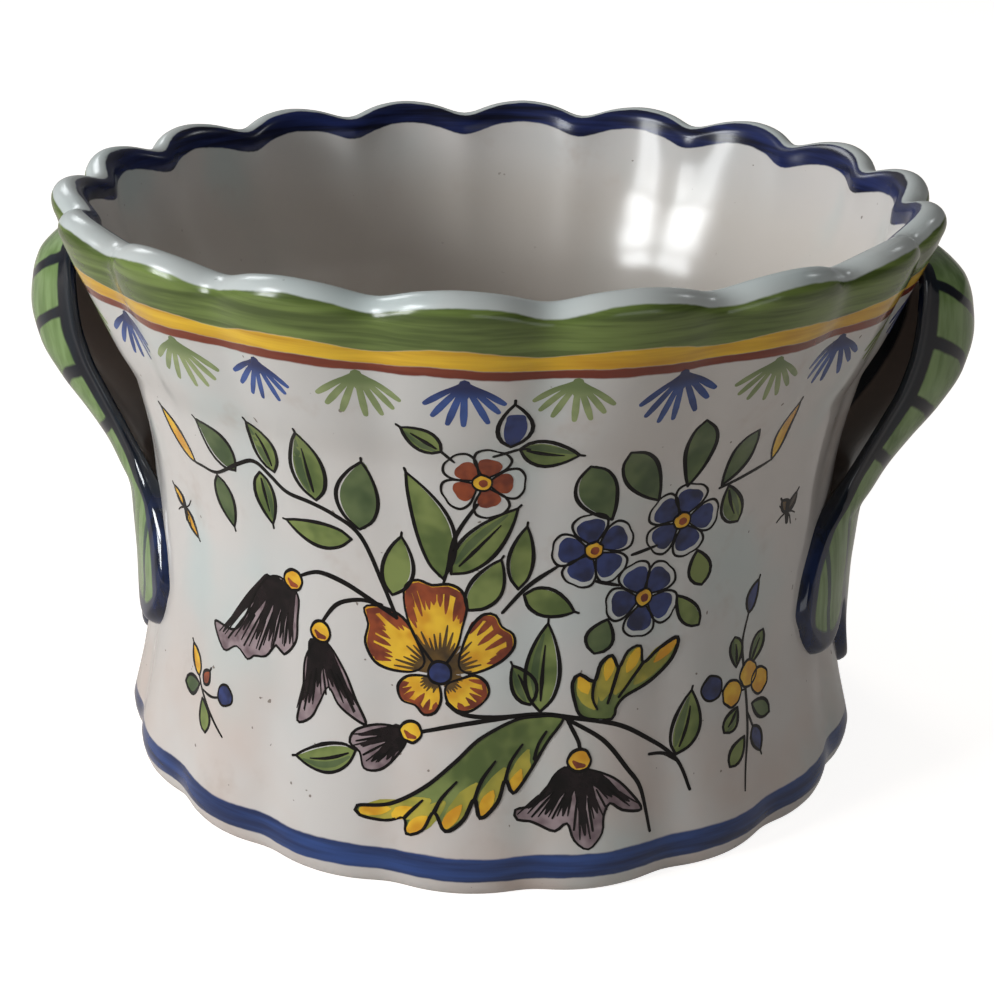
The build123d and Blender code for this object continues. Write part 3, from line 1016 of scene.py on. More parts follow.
class Painter:
    """Draws the decor flat, in millimetres round the wall and up it."""

    def __init__(self, seed: int) -> None:
        """Start with a clean wall.

        Args:
            seed: Seed of the hand's small unevenness.
        """
        self.random = random.Random(seed)
        self.patches = {paint: Patches() for paint in Paint}
        self.count = 0

    def lay(self, paint: Paint, outline: list[Point], extra: float = 0.0) -> None:
        """Lay one patch of paint, lifted above the colour's own height by an extra."""
        self.count += 1
        self.patches[paint].add(outline, FINISHES[paint].lift + extra + self.count % LIFT_CYCLE * LIFT_STEP)

    @staticmethod
    def loop(outline: Points) -> list[Point]:
        """Round off a closed outline, more finely where it is small.

        Args:
            outline: Points round it.

        Returns:
            The smooth outline.
        """
        points = list(outline)
        length = sum(math.dist(a, b) for a, b in zip(points, points[1:] + points[:1]))
        return smooth_path(points, max(0.3, min(0.9, length / 44)), True)

    def fill(self, paint: Paint, outline: Points, extra: float = 0.0) -> None:
        """Fill a smooth closed shape."""
        self.lay(paint, self.loop(outline), extra)

    def stroke(self, paint: Paint, points: Points, widths: list[float], extra: float = 0.0) -> None:
        """Draw a brush stroke, with its widths spread evenly along it."""
        hand = [width * self.random.uniform(0.86, 1.14) for width in widths]
        self.lay(paint, ribbon(smooth_path(list(points), 0.8), hand), extra)

    def edge(self, outline: Points, width: float = 0.7, extra: float = 0.0) -> None:
        """Draw a dark line round a shape, in two strokes.

        Args:
            outline: Points round it.
            width: The line's width.
            extra: Lift above the line's own.
        """
        loop = self.loop(outline)
        half = len(loop) // 2
        thin = width * 0.7
        self.lay(Paint.OUTLINE, ribbon(loop[:half + 1], [thin, width, width * 1.15, thin]), extra)
        self.lay(Paint.OUTLINE, ribbon(loop[half:] + loop[:1], [thin, width * 1.1, width, thin]), extra)

    def disc(self, paint: Paint, centre: Point, radius: float, line: float = 0.0, extra: float = 0.0) -> None:
        """Paint a round spot.

        Args:
            paint: Its colour.
            centre: Its centre.
            radius: Its radius.
            line: Width of a dark line round it; none if 0.
            extra: Lift above the colour's own.
        """
        (x, y), count = centre, 14
        turns = [math.tau * index / count for index in range(count)]
        rims = [radius * self.random.uniform(0.93, 1.07) for _ in turns]
        spot = [(x + rim * math.cos(turn), y + rim * math.sin(turn)) for turn, rim in zip(turns, rims)]
        self.fill(paint, spot, extra)
        if line:
            self.edge(spot, line, extra)

    def leaf(self, base: Point, tip: Point, width: float, paint: Paint, blunt: bool = False) -> None:
        """Paint a leaf or a bud with its dark outline.

        Args:
            base: Where it leaves its stem.
            tip: Its point.
            width: Its greatest width.
            paint: Its colour.
            blunt: Whether its end is round.
        """
        (bx, by), (tx, ty) = base, tip
        length = math.hypot(tx - bx, ty - by)
        ux, uy = (tx - bx) / length, (ty - by) / length
        bend = length * self.random.uniform(-0.07, 0.07)
        skew, swell = (1.28, 0.66) if blunt else (0.82, 0.85)
        right: list[Point] = []
        left: list[Point] = []
        spine: list[Point] = []
        steps = 8
        for step in range(steps + 1):
            t = step / steps
            off = bend * math.sin(math.pi * t)
            x, y = bx + ux * length * t - uy * off, by + uy * length * t + ux * off
            half = width / 2 * math.sin(math.pi * t ** skew) ** swell if 0 < t < 1 else 0.0
            spine.append((x, y))
            right.append((x - uy * half, y + ux * half))
            left.append((x + uy * half, y - ux * half))
        shift = self.random.uniform(-0.06, 0.06) * width
        bud = paint is Paint.BLUE and width > 5.0
        share = 0.66 if bud else 0.90
        inset = [(mx + (x - mx) * share - uy * shift, my + (y - my) * share + ux * shift)
                 for (x, y), (mx, my) in zip(right + left[::-1], spine + spine[::-1])]
        self.fill(paint, inset[:7] + inset[11:17] if bud else inset[:8] + inset[9:17])
        ribbed = self.random.random() < 0.55
        if paint is Paint.LEAF and ribbed:
            pairs = [(right[index], spine[index]) for index in (1, 3, 5, 7)]
            shade = [(x * 0.45 + mx * 0.55, y * 0.45 + my * 0.55) for (x, y), (mx, my) in pairs]
            self.stroke(Paint.LEAF_DEEP, shade, [0.5, width * 0.26, width * 0.2, 0.4], 0.004)
            self.stroke(Paint.OUTLINE, spine[1:7], [0.4, 0.85, 0.6, 0.25])
        if not blunt:
            right.append((tx + ux * 0.9, ty + uy * 0.9))
        for row in (right, left):
            self.stroke(Paint.OUTLINE, row, [0.55, 0.75, 0.82, 0.66, 0.5])

    def flower(self, centre: Point, radius: float, paint: Paint, lean: float, share: float) -> None:
        """Paint a five-petal flower with pale petal rims.

        Args:
            centre: Its centre.
            radius: Its radius.
            paint: Colour inside the petals.
            lean: Turn of the first petal in degrees.
            share: How much of a petal the colour fills.
        """
        x, y = centre
        inner = [(a * share + 0.06, b * share) for a, b in PETAL]
        for petal in range(5):
            turn = math.radians(90 + lean + 72 * petal + self.random.uniform(-4, 4))
            ux, uy = math.cos(turn), math.sin(turn)
            core, loop = (
                [(x + radius * (a * ux - b * uy), y + radius * (a * uy + b * ux)) for a, b in shape]
                for shape in (inner, PETAL)
            )
            self.fill(paint, core)
            self.edge(loop, 0.5)
        self.disc(Paint.YELLOW, centre, radius * 0.23, 0.45, EYE_LIFT)
        self.disc(Paint.RUST, (x + 0.2, y - 0.1), radius * 0.11, 0.0, EYE_LIFT)

    def pansy(self) -> None:
        """Paint the large yellow flower."""
        cx, cy = PANSY_CENTRE
        for petal in PANSY:
            loop = [(cx + x, cy + y) for x, y in petal]
            mx, my = (sum(values) / len(petal) for values in zip(*petal))
            reach = math.hypot(mx, my)
            self.fill(Paint.YELLOW, loop)
            line = smooth_path(list(petal), 1.5, True)
            start = min(range(len(line)), key=lambda index: line[index][0] * mx + line[index][1] * my)
            rim = [(x, y) for x, y in line[start:] + line[:start] if x * mx + y * my > reach * reach * 1.02]
            fringe = [(x * 0.975, y * 0.975) for x, y in rim] + [(x * 0.89, y * 0.89) for x, y in rim[::-1]]
            self.fill(Paint.RUST, [(cx + x, cy + y) for x, y in fringe])
            for x, y in rim:
                far = self.random.uniform(0.62, 0.78)
                tongue = [(cx + x * k, cy + y * k) for k in (0.90, 0.82, far)]
                self.stroke(Paint.RUST, tongue, [1.3, 1.1, 0.3], 0.003)
            for share in (-1.0, -0.72, -0.44, -0.15, 0.15, 0.44, 0.72, 1.0):
                turn = math.atan2(my, mx) + share * 0.50
                long = reach * self.random.uniform(0.52, 0.82)
                hair = [(cx + math.cos(turn) * k, cy + math.sin(turn) * k) for k in (1.8, long * 0.6, long)]
                self.stroke(Paint.UMBER, hair, [0.9, 0.75, 0.3])
            self.edge(loop, 0.6)
        self.disc(Paint.BLUE, PANSY_CENTRE, 2.4, 0.6, 0.06)

    def bell(self, bell: Bell) -> None:
        """Paint a bell flower, dark at its root and pale at its tips.

        Args:
            bell: The flower.
        """
        self.fill(Paint.WASH, bell.outline)
        for index, tip in enumerate(bell.tips):
            root = along(*bell.roots, (index / (len(bell.tips) - 1),))[0]
            (rx, ry), (tx, ty) = root, tip
            middle = [(a + b) / 2 + self.random.uniform(-0.3, 0.3) for a, b in zip(root, tip)]
            end = along(root, tip, (self.random.uniform(0.80, 0.95),))[0]
            self.stroke(Paint.AUBERGINE, [root, (middle[0], middle[1]), end], [2.9, 2.3, 1.4, 0.4])
            for side in (-1.1, 1.0):
                fine = [(rx + (tx - rx) * k + side * k, ry + (ty - ry) * k) for k in (0.55, 0.96)]
                self.stroke(Paint.AUBERGINE, fine, [0.5, 0.45, 0.25], 0.012)
            if index:
                px, py = bell.tips[index - 1]
                fold = along(root, ((px + tx) / 2, (py + ty) / 2), (0.42, 0.75, 1.0))
                self.stroke(Paint.OUTLINE, fold, [0.3, 0.55, 0.4])
        self.edge(bell.outline, 0.55)
        self.disc(Paint.YELLOW, bell.calyx, 2.3, 0.65, EYE_LIFT)
        cx, cy = bell.calyx
        shade = [(cx - 1.2, cy - 0.1), (cx - 0.4, cy - 1.0), (cx + 0.9, cy - 1.1)]
        self.stroke(Paint.RUST, shade, [0.6, 1.5, 0.8], EYE_LIFT)

    def cut_leaf(self, leaf: CutLeaf) -> None:
        """Paint a large leaf with a toothed edge.

        Args:
            leaf: The leaf.
        """
        self.fill(Paint.LEAF, leaf.outline)
        for index, (point, root) in enumerate(leaf.teeth):
            lift = index * TOOTH_STEP
            self.stroke(Paint.LIME, along(point, root, (0.03, 0.5, 1.15)), [1.9, 3.9, 3.4, 1.0], lift)
            tip = along(point, root, (0.02, 0.26, 0.58))
            self.stroke(Paint.YELLOW, tip, [1.6, 2.8, 2.0, 0.5], TOOTH_LIFT + lift)
        for cut in leaf.cuts:
            self.stroke(Paint.OUTLINE, cut, [0.8, 0.7, 0.45], CUT_LIFT)
        self.edge(leaf.outline, 0.75, CUT_LIFT)

    def fly(self, centre: Point, wings: Outline, paint: Paint) -> None:
        """Paint a small insect.

        Args:
            centre: Its body's centre.
            wings: Wing tips.
            paint: The wings' colour.
        """
        x, y = centre
        self.stroke(Paint.OUTLINE, [(x - 0.6, y + 2.4), (x, y), (x + 0.5, y - 2.6)], [0.9, 1.8, 1.0])
        for tip in wings:
            self.leaf(centre, tip, 2.4, paint)
        for dx, dy in ((-3.2, 2.2), (-3.4, -1.6), (3.0, 2.6), (3.4, -1.2), (2.2, -3.4)):
            leg = [(x, y), (x + dx * 0.6, y + dy * 0.4), (x + dx, y + dy)]
            self.stroke(Paint.OUTLINE, leg, [0.4, 0.4, 0.3])

    def spray(self) -> None:
        """Paint the whole flower spray, the sprigs and the insects."""
        for points, width in STEMS:
            self.stroke(Paint.OUTLINE, points, [width * 0.8, width, width, width * 0.6])
        for leaves in (LEAVES, ROUND_LEAVES):
            for base, tip, width, paint in leaves:
                self.leaf(base, tip, width, paint, leaves is ROUND_LEAVES)
        for leaf in CUT_LEAVES:
            self.cut_leaf(leaf)
        for flower in FLOWERS:
            self.flower(*flower)
        self.pansy()
        for bell in BELLS:
            self.bell(bell)
        for berry in BERRIES:
            self.disc(*berry, BERRY_LIFT)
        self.fly((-73.9, 67.8), ((-78.6, 71.5), (-68.3, 62.7)), Paint.YELLOW)
        self.fly((77.1, 71.7), ((79.8, 75.6), (74.4, 75.0)), Paint.UMBER)


def fan_patches(paint: Paint, seed: int) -> Patches:
    """Draw one fan of brush strokes that hangs from its top point.

    Args:
        paint: Its colour.
        seed: Seed of the hand's unevenness.

    Returns:
        The fan.
    """
    hand = random.Random(seed)
    patches = Patches()
    lift, spacing = FINISHES[paint].lift, 0.7
    for index, turn in enumerate((-64, -42, -21, 0, 21, 42, 64)):
        lean = math.radians(turn + hand.uniform(-3, 3))
        sine, cosine = math.sin(lean), math.cos(lean)
        reach = 9.2 - 2.4 * sine ** 2 + hand.uniform(-0.5, 0.5)
        sag = 1.6 * sine ** 2
        points = [(sine * k, -cosine * k - sag * (k / reach) ** 2) for k in (0.2, reach * 0.5, reach)]
        patches.add(ribbon(smooth_path(points, spacing), [1.3, 1.0, 1.2, 1.3, 0.9]), lift + index * 0.002)
    knot = smooth_path([(0.0, 0.1), (0.0, -1.2), (0.0, -2.6)], spacing)
    patches.add(ribbon(knot, [1.9, 2.5, 1.3]), lift + 0.02)
    return patches


# A point of a handle with its ways to the side rim and to the tail's end
Mark = tuple[Place, float, float]


@dataclass(frozen=True)
class LeafHandle:
    """The right handle as horizontal sections, in millimetres."""

    columns: int = 64
    rows: int = 150
    top: float = 119.0
    tail_round: float = 3.2
    top_round: float = 1.6
    side_swell: float = 1.25
    sections: tuple[tuple[float, float, float, float, float, float], ...] = (
        (14.0, 87.1, 82.0, 39.5, 77.7, 72.1), (17.1, 86.5, 81.2, 39.5, 77.0, 71.4),
        (33.8, 84.8, 78.1, 39.5, 73.9, 68.3), (44.2, 84.8, 76.6, 39.5, 72.2, 66.6),
        (52.0, 85.3, 75.9, 37.1, 72.7, 67.1), (59.8, 86.1, 75.6, 30.8, 75.3, 69.7),
        (64.3, 89.0, 79.58, 24.3, 79.15, 75.15), (69.5, 92.05, 84.51, 20.9, 81.84, 79.04),
        (76.15, 96.69, 90.6, 19.6, 85.09, 82.69), (83.75, 102.2, 96.84, 19.0, 88.86, 86.46),
        (91.75, 106.2, 101.19, 19.0, 92.2, 89.8), (99.75, 107.55, 102.93, 19.0, 93.94, 91.54),
        (106.75, 106.6, 100.46, 18.8, 94.37, 91.97), (111.75, 104.8, 95.24, 18.4, 94.31, 91.91),
        (115.25, 101.7, 91.18, 18.0, 93.94, 91.54), (119.05, 96.4, 89.44, 16.3, 92.92, 90.52),
    )
    tail: Outline = (
        (0.0, 14.1), (3.0, 15.4), (7.0, 20.0), (12.2, 29.0), (16.5, 34.5), (19.75, 38.0), (22.0, 34.4),
        (25.5, 31.9), (29.2, 31.1), (33.0, 31.8), (36.0, 34.2), (38.4, 38.0), (40.0, 43.0),
    )

    def curves(self) -> list[Curve]:
        """The sections as curves over height: outer, inner, half width, edge and back."""
        return [Curve([(row[0], row[column]) for row in self.sections]) for column in range(1, 6)]

    @staticmethod
    def rounded(way: float, reach: float) -> float:
        """Share of the thickness that is left near a rounded end."""
        return math.sqrt(max(1 - max(1 - way / reach, 0.0) ** 2, 0.0004))

    @staticmethod
    def arc(edge: float, half: float, middle: float, share: float) -> Point:
        """Find a point on an arc through two edges and a middle.

        Args:
            edge: Reach of the arc's ends.
            half: Half width at its ends.
            middle: Reach of its middle.
            share: From -1 at one end to 1 at the other.

        Returns:
            Reach and sideways place.
        """
        rise = middle - edge
        if abs(rise) < 1e-4:
            return edge, half * share
        radius = (half * half + rise * rise) / (2 * rise)
        turn = 2 * math.atan2(rise, half) * share
        return middle - radius + radius * math.cos(turn), radius * math.sin(turn)

    def end_height(self, share: float, curves: list[Curve], tail: Curve) -> float:
        """Find the height at which a column meets the tail's cut.

        Args:
            share: The column from -1 to 1.
            curves: The sections' curves.
            tail: Lowest height over the sideways place.

        Returns:
            The height.
        """
        low, high = 13.5, 60.0
        for _ in range(40):
            middle = (low + high) / 2
            _, side = self.arc(curves[3].at(middle), curves[2].at(middle), curves[0].at(middle), share)
            if middle < tail.at(abs(side)):
                low = middle
            else:
                high = middle
        return high

    def side(self, corner: Mark, back: Mark, way: int) -> list[Mark]:
        """Round a side from the front to the back.

        Args:
            corner: The front's last point on that side.
            back: The point behind it.
            way: 1 or -1, where the side swells to.

        Returns:
            The points between.
        """
        (x, y, z), _, left = corner
        bx, by, _ = back[0]
        made: list[Mark] = []
        for share in (0.22, 0.5, 0.78):
            swell = math.sin(math.pi * share) * self.side_swell * way * min(left / 4 + 0.05, 1.0)
            made.append(((x + (bx - x) * share, y + (by - y) * share + swell, z), -0.7 * share, left))
        return made

    def row(self, part: float, shares: list[float], ends: list[float], curves: list[Curve]) -> list[Mark]:
        """Lay out one loop of points round the handle.

        Args:
            part: The row, from 0 at the top to 1 at the tail.
            shares: The columns from -1 to 1.
            ends: The height at which each column ends.
            curves: The sections' curves.

        Returns:
            The points.
        """
        front: list[Mark] = []
        behind: list[Mark] = []
        for share, end in zip(shares, ends):
            height = self.top + (end - self.top) * part
            outer, inner, half, edge, back = (curve.at(height) for curve in curves)
            x, y = self.arc(edge, half, outer, share)
            bx, by = self.arc(back, half - 0.6, inner, share)
            left = height - end
            keep = self.rounded(left, self.tail_round)
            keep *= 0.25 + 0.75 * self.rounded(self.top - height, self.top_round)
            rim = (1 - abs(share)) * half * 1.12
            front.append(((bx + (x - bx) * keep, by + (y - by) * keep, height), rim, left))
            behind.append(((bx, by, height), -1.0 - rim, left))
        right, other = self.side(front[-1], behind[-1], 1), self.side(front[0], behind[0], -1)
        return front + right + behind[::-1] + other[::-1]

    def mesh(self, name: str, turned: bool) -> bpy.types.Mesh:
        """Build the handle.

        Args:
            name: The mesh's name.
            turned: Whether it is turned half round the pot.

        Returns:
            A closed mesh in metres.
        """
        curves, tail = self.curves(), Curve(list(self.tail))
        evens = [2 * index / self.columns - 1 for index in range(self.columns + 1)]
        shares = [math.sin(math.pi / 2 * even) * 0.35 + even * 0.65 for even in evens]
        ends = [self.end_height(share, curves, tail) for share in shares]
        loops = [self.row(row / self.rows, shares, ends, curves) for row in range(self.rows + 1)]
        count = len(loops[0])
        faces: list[Face] = [(a, d, c, b) for a, b, c, d in grid_faces(self.rows, count)]
        faces += self.caps(0, count, False) + self.caps(self.rows * count, count, True)
        spin = -MM if turned else MM
        marks = [mark for loop in loops for mark in loop]
        points = [(x * spin, y * spin, z * MM) for (x, y, z), _, _ in marks]
        return skin(name, points, faces, {
            "rim": [rim for _, rim, _ in marks],
            "end": [left for _, _, left in marks],
            "side": [place[1] for place, _, _ in marks],
        })

    def caps(self, first: int, count: int, low: bool) -> list[Face]:
        """Close the handle's top or bottom row.

        Args:
            first: Index of the row's first point.
            count: Points in the row.
            low: Whether it is the bottom.

        Returns:
            The faces.
        """
        n = self.columns
        made: list[Face] = []
        for index in range(n):
            far = 2 * n + 4 - index
            made.append((first + index, first + index + 1, first + far - 1, first + far))
        for start in (n, 2 * n + 4):
            made.append(tuple(first + (start + index) % count for index in range(5)))
        return [face[::-1] for face in made] if low else made


class Glaze:
    """Materials of the pot."""

    white: Colour = srgb(214, 209, 205)
    green: Colour = srgb(120, 140, 72)
    yellow: Colour = srgb(240, 196, 48)
    red: Colour = srgb(114, 42, 22)
    blue: Colour = srgb(42, 72, 134)
    navy: Colour = srgb(11, 15, 38)

    @staticmethod
    def start(name: str) -> tuple[bpy.types.Material, Tree, Socket, Node]:
        """Start a glossy material.

        Args:
            name: Its name.

        Returns:
            The material, its tree, the object's coordinates and the shader.
        """
        material = bpy.data.materials.new(name)
        material.use_nodes = True
        b = Tree(material.node_tree)
        shader = material.node_tree.nodes["Principled BSDF"]
        place = b.add("ShaderNodeTexCoord").outputs["Object"]
        shader.inputs["IOR"].default_value = 1.52
        return material, b, place, shader

    @staticmethod
    def gloss(b: Tree, place: Socket, shader: Node, rough: float, dull: Socket | float = 0.0) -> None:
        """Give the glaze its shine and a slight ripple.

        Args:
            b: The material's tree.
            place: The object's coordinates.
            shader: The shader.
            rough: Its roughness.
            dull: More roughness, by place.
        """
        uneven = b.math("MULTIPLY_ADD", b.noise(place, 70.0, 2.0), 0.10, rough - 0.05)
        b.put(b.math("ADD", uneven, dull), shader.inputs["Roughness"])
        ripple = {"Strength": 0.16, "Distance": 0.0016, "Height": b.noise(place, 46.0, 1.5)}
        b.put(b.add("ShaderNodeBump", ripple).outputs[0], shader.inputs["Normal"])

    def bare(self, b: Tree, place: Socket) -> Socket:
        """Colour of the unpainted tin glaze.

        Args:
            b: The material's tree.
            place: The object's coordinates.

        Returns:
            The colour.
        """
        cloud = b.noise(place, 17.0, 3.0, 0.55)
        tint = b.mix(b.step(cloud, 0.35, 0.68), self.white, srgb(206, 206, 204))
        cool = b.rise(b.noise(place, 31.0, 2.0), 0.52, 0.74, 0.6)
        tint = b.mix(cool, tint, srgb(194, 210, 209))
        low = b.fall(b.parts(place)[2], 0.012, 0.062)
        warm = b.rise(b.noise(place, 26.0, 3.0, 0.6), 0.36, 0.66, 0.55)
        tint = b.mix(b.math("MULTIPLY", low, warm), tint, srgb(206, 184, 172))
        stain = b.rise(b.noise(place, 44.0, 4.0, 0.7), 0.56, 0.78, 0.45)
        tint = b.mix(stain, tint, srgb(184, 166, 154))
        specks = b.rise(b.noise(place, 520.0, 1.0), 0.775, 0.80, 0.75)
        return b.mix(specks, tint, srgb(92, 74, 60))

    def bowl(self, profile: BowlProfile) -> bpy.types.Material:
        """Make the bowl's glaze with its painted bands and a painted warm shade inside.

        Args:
            profile: The bowl's section, for the bands' places.

        Returns:
            The material.
        """
        material, b, place, shader = self.start("white_tin_glaze")
        at, top = profile.way_at, profile.top_way
        way = b.math("MULTIPLY", b.attribute("way"), PER_METRE)
        wave = b.math("MULTIPLY_ADD", b.noise(place, 52.0, 2.0), 1.8, -0.9)
        fine = b.math("MULTIPLY_ADD", b.noise(place, 240.0, 2.0), 0.5, -0.25)
        hand = b.math("ADD", way, b.math("ADD", wave, fine))
        streak = b.noise(b.stretch(place, (26.0, 26.0, 420.0)), 1.0, 3.0, 0.6)
        shade = b.step(streak, 0.30, 0.70)
        # Painted shade: below the rim inside, the glaze turns a warmer, slightly darker white.
        inner_warm_shade = b.rise(way, top + 9.0, top + 30.0, 0.8)
        colour = b.mix(inner_warm_shade, self.bare(b, place), srgb(208, 200, 191))
        lip = b.math("MULTIPLY", b.band(way, top - 7.0, top + 6.0, 3.0), 0.55)
        colour = b.mix(lip, colour, srgb(196, 210, 210))
        bands = (
            (at(120.2), top - 4.1, self.green, srgb(74, 90, 40)),
            (at(116.4), at(120.2), self.yellow, srgb(206, 152, 30)),
            (at(114.3), at(116.4), self.red, srgb(132, 58, 32)),
            (at(3.9), at(9.2), self.blue, srgb(22, 40, 82)),
            (top + 1.7, top + 7.4, self.navy, srgb(34, 46, 98)),
        )
        for low, high, light, deep in bands:
            colour = b.mix(b.band(hand, low, high, 0.5), colour, b.mix(shade, light, deep))
        b.put(colour, shader.inputs["Base Color"])
        worn = b.step(way, top - 8.0, top - 3.0)
        faint = b.math("SUBTRACT", worn, b.step(way, top + 16.0, top + 28.0))
        b.put(b.math("MULTIPLY_ADD", faint, -0.2, 0.5), shader.inputs["Specular IOR Level"])
        self.gloss(b, place, shader, 0.13, b.math("MULTIPLY", worn, 0.10))
        return material

    def paint(self, paint: Paint) -> bpy.types.Material:
        """Make one colour of the painted decor.

        Args:
            paint: The colour.

        Returns:
            The material.
        """
        finish = FINISHES[paint]
        material, b, place, shader = self.start(paint.value + "_paint")
        tone = b.step(b.noise(place, finish.patch, 2.0, 0.6), 0.34, 0.68)
        if finish.pooled:
            high = b.step(b.parts(place)[2], 0.1085, 0.1125)
            tone = b.math("MAXIMUM", b.math("MULTIPLY", tone, 0.6), high)
        b.put(b.mix(tone, finish.light, finish.deep), shader.inputs["Base Color"])
        shader.inputs["Specular IOR Level"].default_value = finish.shine
        self.gloss(b, place, shader, finish.gloss)
        return material

    def handle(self) -> bpy.types.Material:
        """Make the handles' glaze: green with dark edges and bars, and painted shade on the inner face.

        Returns:
            The material.
        """
        material, b, place, shader = self.start("leaf_green_glaze")
        rim, end, side = (b.attribute(name) for name in ("rim", "end", "side"))
        height = b.math("MULTIPLY", b.parts(place)[2], PER_METRE)
        wave = b.math("MULTIPLY_ADD", b.noise(place, 90.0, 2.0), 2.4, -1.2)
        streak = b.noise(b.stretch(place, (260.0, 260.0, 34.0)), 1.0, 3.0, 0.6)
        colour = b.mix(b.step(streak, 0.30, 0.70), srgb(134, 160, 104), srgb(96, 124, 66))
        pool = b.rise(b.noise(place, 60.0, 2.0), 0.55, 0.78, 0.5)
        colour = b.mix(pool, colour, srgb(160, 184, 140))
        dark = b.mix(b.step(streak, 0.35, 0.75), srgb(7, 12, 26), srgb(12, 28, 40))
        slope = b.math("MULTIPLY_ADD", b.math("ABSOLUTE", side), -0.80, height)
        slope = b.math("ADD", slope, wave)
        for level in (104.5, 91.0, 77.5, 65.0):
            colour = b.mix(b.band(slope, level - 5.4, level - 2.6, 0.8), colour, dark)
        low = b.fall(height, 56.0, 66.0)
        vein = b.math("ABSOLUTE", b.math("SINE", b.math("MULTIPLY", side, 0.30)))
        colour = b.mix(b.math("MULTIPLY", b.fall(vein, 0.16, 0.34), low), colour, srgb(30, 62, 60))
        # The dark edge colour runs round the strap's sides and about 5 mm onto its inner face; there it is
        # partly edge paint and partly painted shade of the gap.
        near = b.math("MINIMUM", b.math("ADD", rim, 0.4), b.math("MULTIPLY", end, 0.62))
        near = b.math("MULTIPLY", near, b.math("MULTIPLY_ADD", low, -0.28, 1.0))
        near = b.math("ADD", near, b.math("MULTIPLY", wave, 0.55))
        blue = b.mix(low, dark, b.mix(b.step(streak, 0.4, 0.7), srgb(24, 40, 80), srgb(9, 15, 32)))
        colour = b.mix(b.fall(near, 2.3, 3.0), colour, blue)
        # Painted shade: the middle of the inner face, towards the wall, is a darker brownish grey.
        colour = b.mix(b.fall(rim, -6.0, -4.6), colour, srgb(150, 134, 124))
        b.put(colour, shader.inputs["Base Color"])
        self.gloss(b, place, shader, 0.11)
        return material


@dataclass(frozen=True)
class Lamp:
    """A soft lamp that faces the pot's axis at one height; sizes in metres, power in watts."""

    name: str
    place: Place
    aim: float
    size: Point
    power: float
    glossy_only: bool = False


LAMPS: tuple[Lamp, ...] = (
    Lamp("window_left", (-0.926, -0.75, 0.46), 0.06, (0.15, 0.42), 5.2),
    Lamp("window_right", (-1.034, -0.57, 0.46), 0.06, (0.15, 0.42), 5.2),
    Lamp("window_top", (-0.896, -0.544, 0.858), 0.06, (0.46, 0.26), 9.6, glossy_only=True),
    Lamp("far_window", (-0.75, 0.95, 0.95), 0.08, (0.4, 0.4), 3.2),
    Lamp("side_window", (0.76, 0.52, 0.83), 0.10, (0.14, 0.18), 0.8),
    Lamp("low_fill", (0.62, -1.05, 0.16), 0.06, (0.9, 0.3), 1.3),
)


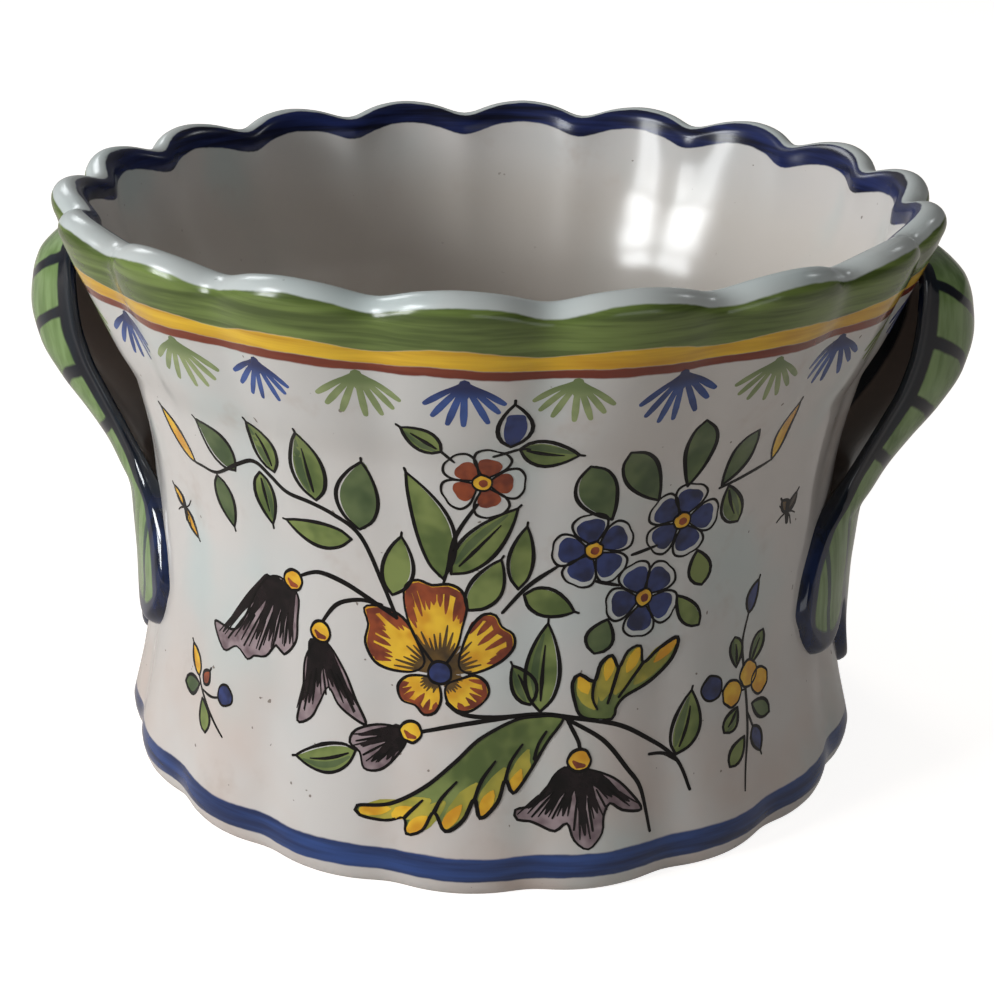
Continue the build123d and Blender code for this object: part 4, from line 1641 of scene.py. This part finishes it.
@dataclass(frozen=True)
class Studio:
    """Floor, light and camera; turns are in degrees."""

    reach: float = 6.0
    lamp_colour: Colour = (0.95, 0.98, 1.0)
    lens: float = 65.9
    sensor: float = 36.0
    eye: Place = (0.0288, -0.4009, 0.2187)
    turn: float = 4.0
    pitch: float = 22.34
    roll: float = 0.86

    def floor(self) -> bpy.types.Object:
        """Make the pale floor.

        Returns:
            The floor.
        """
        r = self.reach
        mesh = bpy.data.meshes.new("floor")
        mesh.from_pydata([(-r, -r, 0), (r, -r, 0), (r, r, 0), (-r, r, 0)], [], [(0, 1, 2, 3)])
        material = bpy.data.materials.new("floor_white")
        material.use_nodes = True
        b, nodes = Tree(material.node_tree), material.node_tree.nodes
        nodes.remove(nodes["Principled BSDF"])
        cover = b.add("ShaderNodeBsdfDiffuse", {"Color": (0.60, 0.54, 0.49)})
        rays = b.add("ShaderNodeLightPath").outputs
        seen = b.math("MULTIPLY", rays["Is Camera Ray"], 0.86)
        strength = b.math("MULTIPLY_ADD", rays["Is Glossy Ray"], 0.15, seen)
        glow = b.add("ShaderNodeEmission", {"Color": (1.0, 1.0, 1.0), "Strength": strength})
        both = b.add("ShaderNodeAddShader", {0: cover.outputs[0], 1: glow.outputs[0]})
        b.put(both.outputs[0], nodes["Material Output"].inputs["Surface"])
        mesh.materials.append(material)
        return in_scene("floor", mesh)

    def world(self) -> None:
        """Set a soft room that darkens to the right and that the camera sees as white."""
        world = bpy.data.worlds.new("room")
        world.use_nodes = True
        bpy.context.scene.world = world
        b, back = Tree(world.node_tree), world.node_tree.nodes["Background"].inputs
        across = b.parts(b.add("ShaderNodeTexCoord").outputs["Generated"])[0]
        room = b.math("MULTIPLY_ADD", b.step(across, -0.5, 0.7), -0.24, 0.30)
        white = b.math("MULTIPLY", b.add("ShaderNodeLightPath").outputs["Is Camera Ray"], 1.05)
        b.put((1.0, 0.975, 0.945), back["Color"])
        b.put(b.math("MAXIMUM", room, white), back["Strength"])

    def lamp(self, lamp: Lamp) -> None:
        """Add a soft lamp.

        Args:
            lamp: The lamp.
        """
        light = bpy.data.lights.new(lamp.name, "AREA")
        light.shape = "RECTANGLE"
        light.size, light.size_y = lamp.size
        light.energy = lamp.power
        light.color = self.lamp_colour
        made = in_scene(lamp.name, light)
        made.location = lamp.place
        ahead = Vector((0.0, 0.0, lamp.aim)) - Vector(lamp.place)
        made.rotation_euler = ahead.to_track_quat("-Z", "Y").to_euler()
        made.visible_diffuse = not lamp.glossy_only

    def camera(self) -> None:
        """Put the camera where the photo was taken from."""
        data = bpy.data.cameras.new("camera")
        data.lens = self.lens
        data.sensor_width = self.sensor
        data.clip_start = 0.01
        camera = in_scene("camera", data)
        turn, pitch, roll = (math.radians(value) for value in (self.turn, self.pitch, self.roll))
        level = math.cos(pitch)
        ahead = Vector((-math.sin(turn) * level, math.cos(turn) * level, -math.sin(pitch)))
        camera.location = self.eye
        camera.rotation_mode = "QUATERNION"
        camera.rotation_quaternion = ahead.to_track_quat("-Z", "Y") @ Quaternion((0, 0, 1), roll)
        bpy.context.scene.camera = camera

    def build(self) -> None:
        """Set the whole studio."""
        self.floor()
        self.world()
        for lamp in LAMPS:
            self.lamp(lamp)
        self.camera()
        bpy.context.scene.view_settings.view_transform = "Standard"


class Cachepot:
    """The visual pieces of the pot."""

    def __init__(self) -> None:
        """Keep the shapes and the materials."""
        self.profile = BowlProfile(BowlShape())
        self.glaze = Glaze()
        self.body = next(iter(frame["bodies"]))

    def join(self, piece: bpy.types.Object, slot: str, *nodes: str) -> None:
        """Tie a piece to the frame and report it.

        Args:
            piece: The piece.
            slot: The record's material slot; not used.
            nodes: CAD nodes it stands for.
        """
        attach(piece, self.body)
        if nodes:
            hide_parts(*nodes)
        LOG.info("%s: %d faces", piece.name, len(piece.data.polygons))

    def build(self) -> None:
        """Make every piece."""
        bowl = bowl_rule().apply(self.profile.mesh(), "bowl", {
            "Lobes": self.profile.shape.lobes,
            "Lobe Strength": 1.0,
            "Unevenness": UNEVENNESS,
            "Material": self.glaze.bowl(self.profile),
        })
        self.paint(bowl)
        self.join(bowl, "white_glaze", "pot_body")
        leaf = LeafHandle()
        green = self.glaze.handle()
        for name, turned in (("handle_right", False), ("handle_left", True)):
            mesh = leaf.mesh(name + "_glazed", turned)
            mesh.materials.append(green)
            self.join(in_scene(name + "_glazed", mesh), "green_glaze", name)

    def lay(self, rule: GeometryRule, paint: Paint, patches: Patches, values: dict[str, object]) -> None:
        """Wrap patches of one paint on the bowl, with a rule and its values."""
        values["Material"] = self.glaze.paint(paint)
        self.join(rule.apply(patches.mesh(paint.value), "paint_" + paint.value, values), "white_glaze")

    def paint(self, bowl: bpy.types.Object) -> None:
        """Paint the bowl.

        Args:
            bowl: The bowl that the drawing is wrapped on.
        """
        painter = Painter(PAINTER_SEED)
        painter.spray()
        wrap, ring = paint_rule(), ring_rule()
        for paint, patches in painter.patches.items():
            if patches.faces:
                self.lay(wrap, paint, patches, {"Bowl": bowl, "Radius": DRAWING_RADIUS})
        between = FAN_FIRST_TURN + math.tau / (2 * FAN_COUNT)
        for paint, turn, seed in ((Paint.FAN_BLUE, FAN_FIRST_TURN, 5), (Paint.FAN_GREEN, between, 8)):
            self.lay(ring, paint, fan_patches(paint, seed), {
                "Bowl": bowl, "Radius": DRAWING_RADIUS, "Count": FAN_COUNT, "First Turn": turn,
                "Height": FAN_HEIGHT, "Seed": seed,
            })


def main() -> None:
    """Build the scene."""
    logging.basicConfig(level=logging.INFO)
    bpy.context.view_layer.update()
    Cachepot().build()
    Studio().build()


if __name__ == "__main__":
    main()
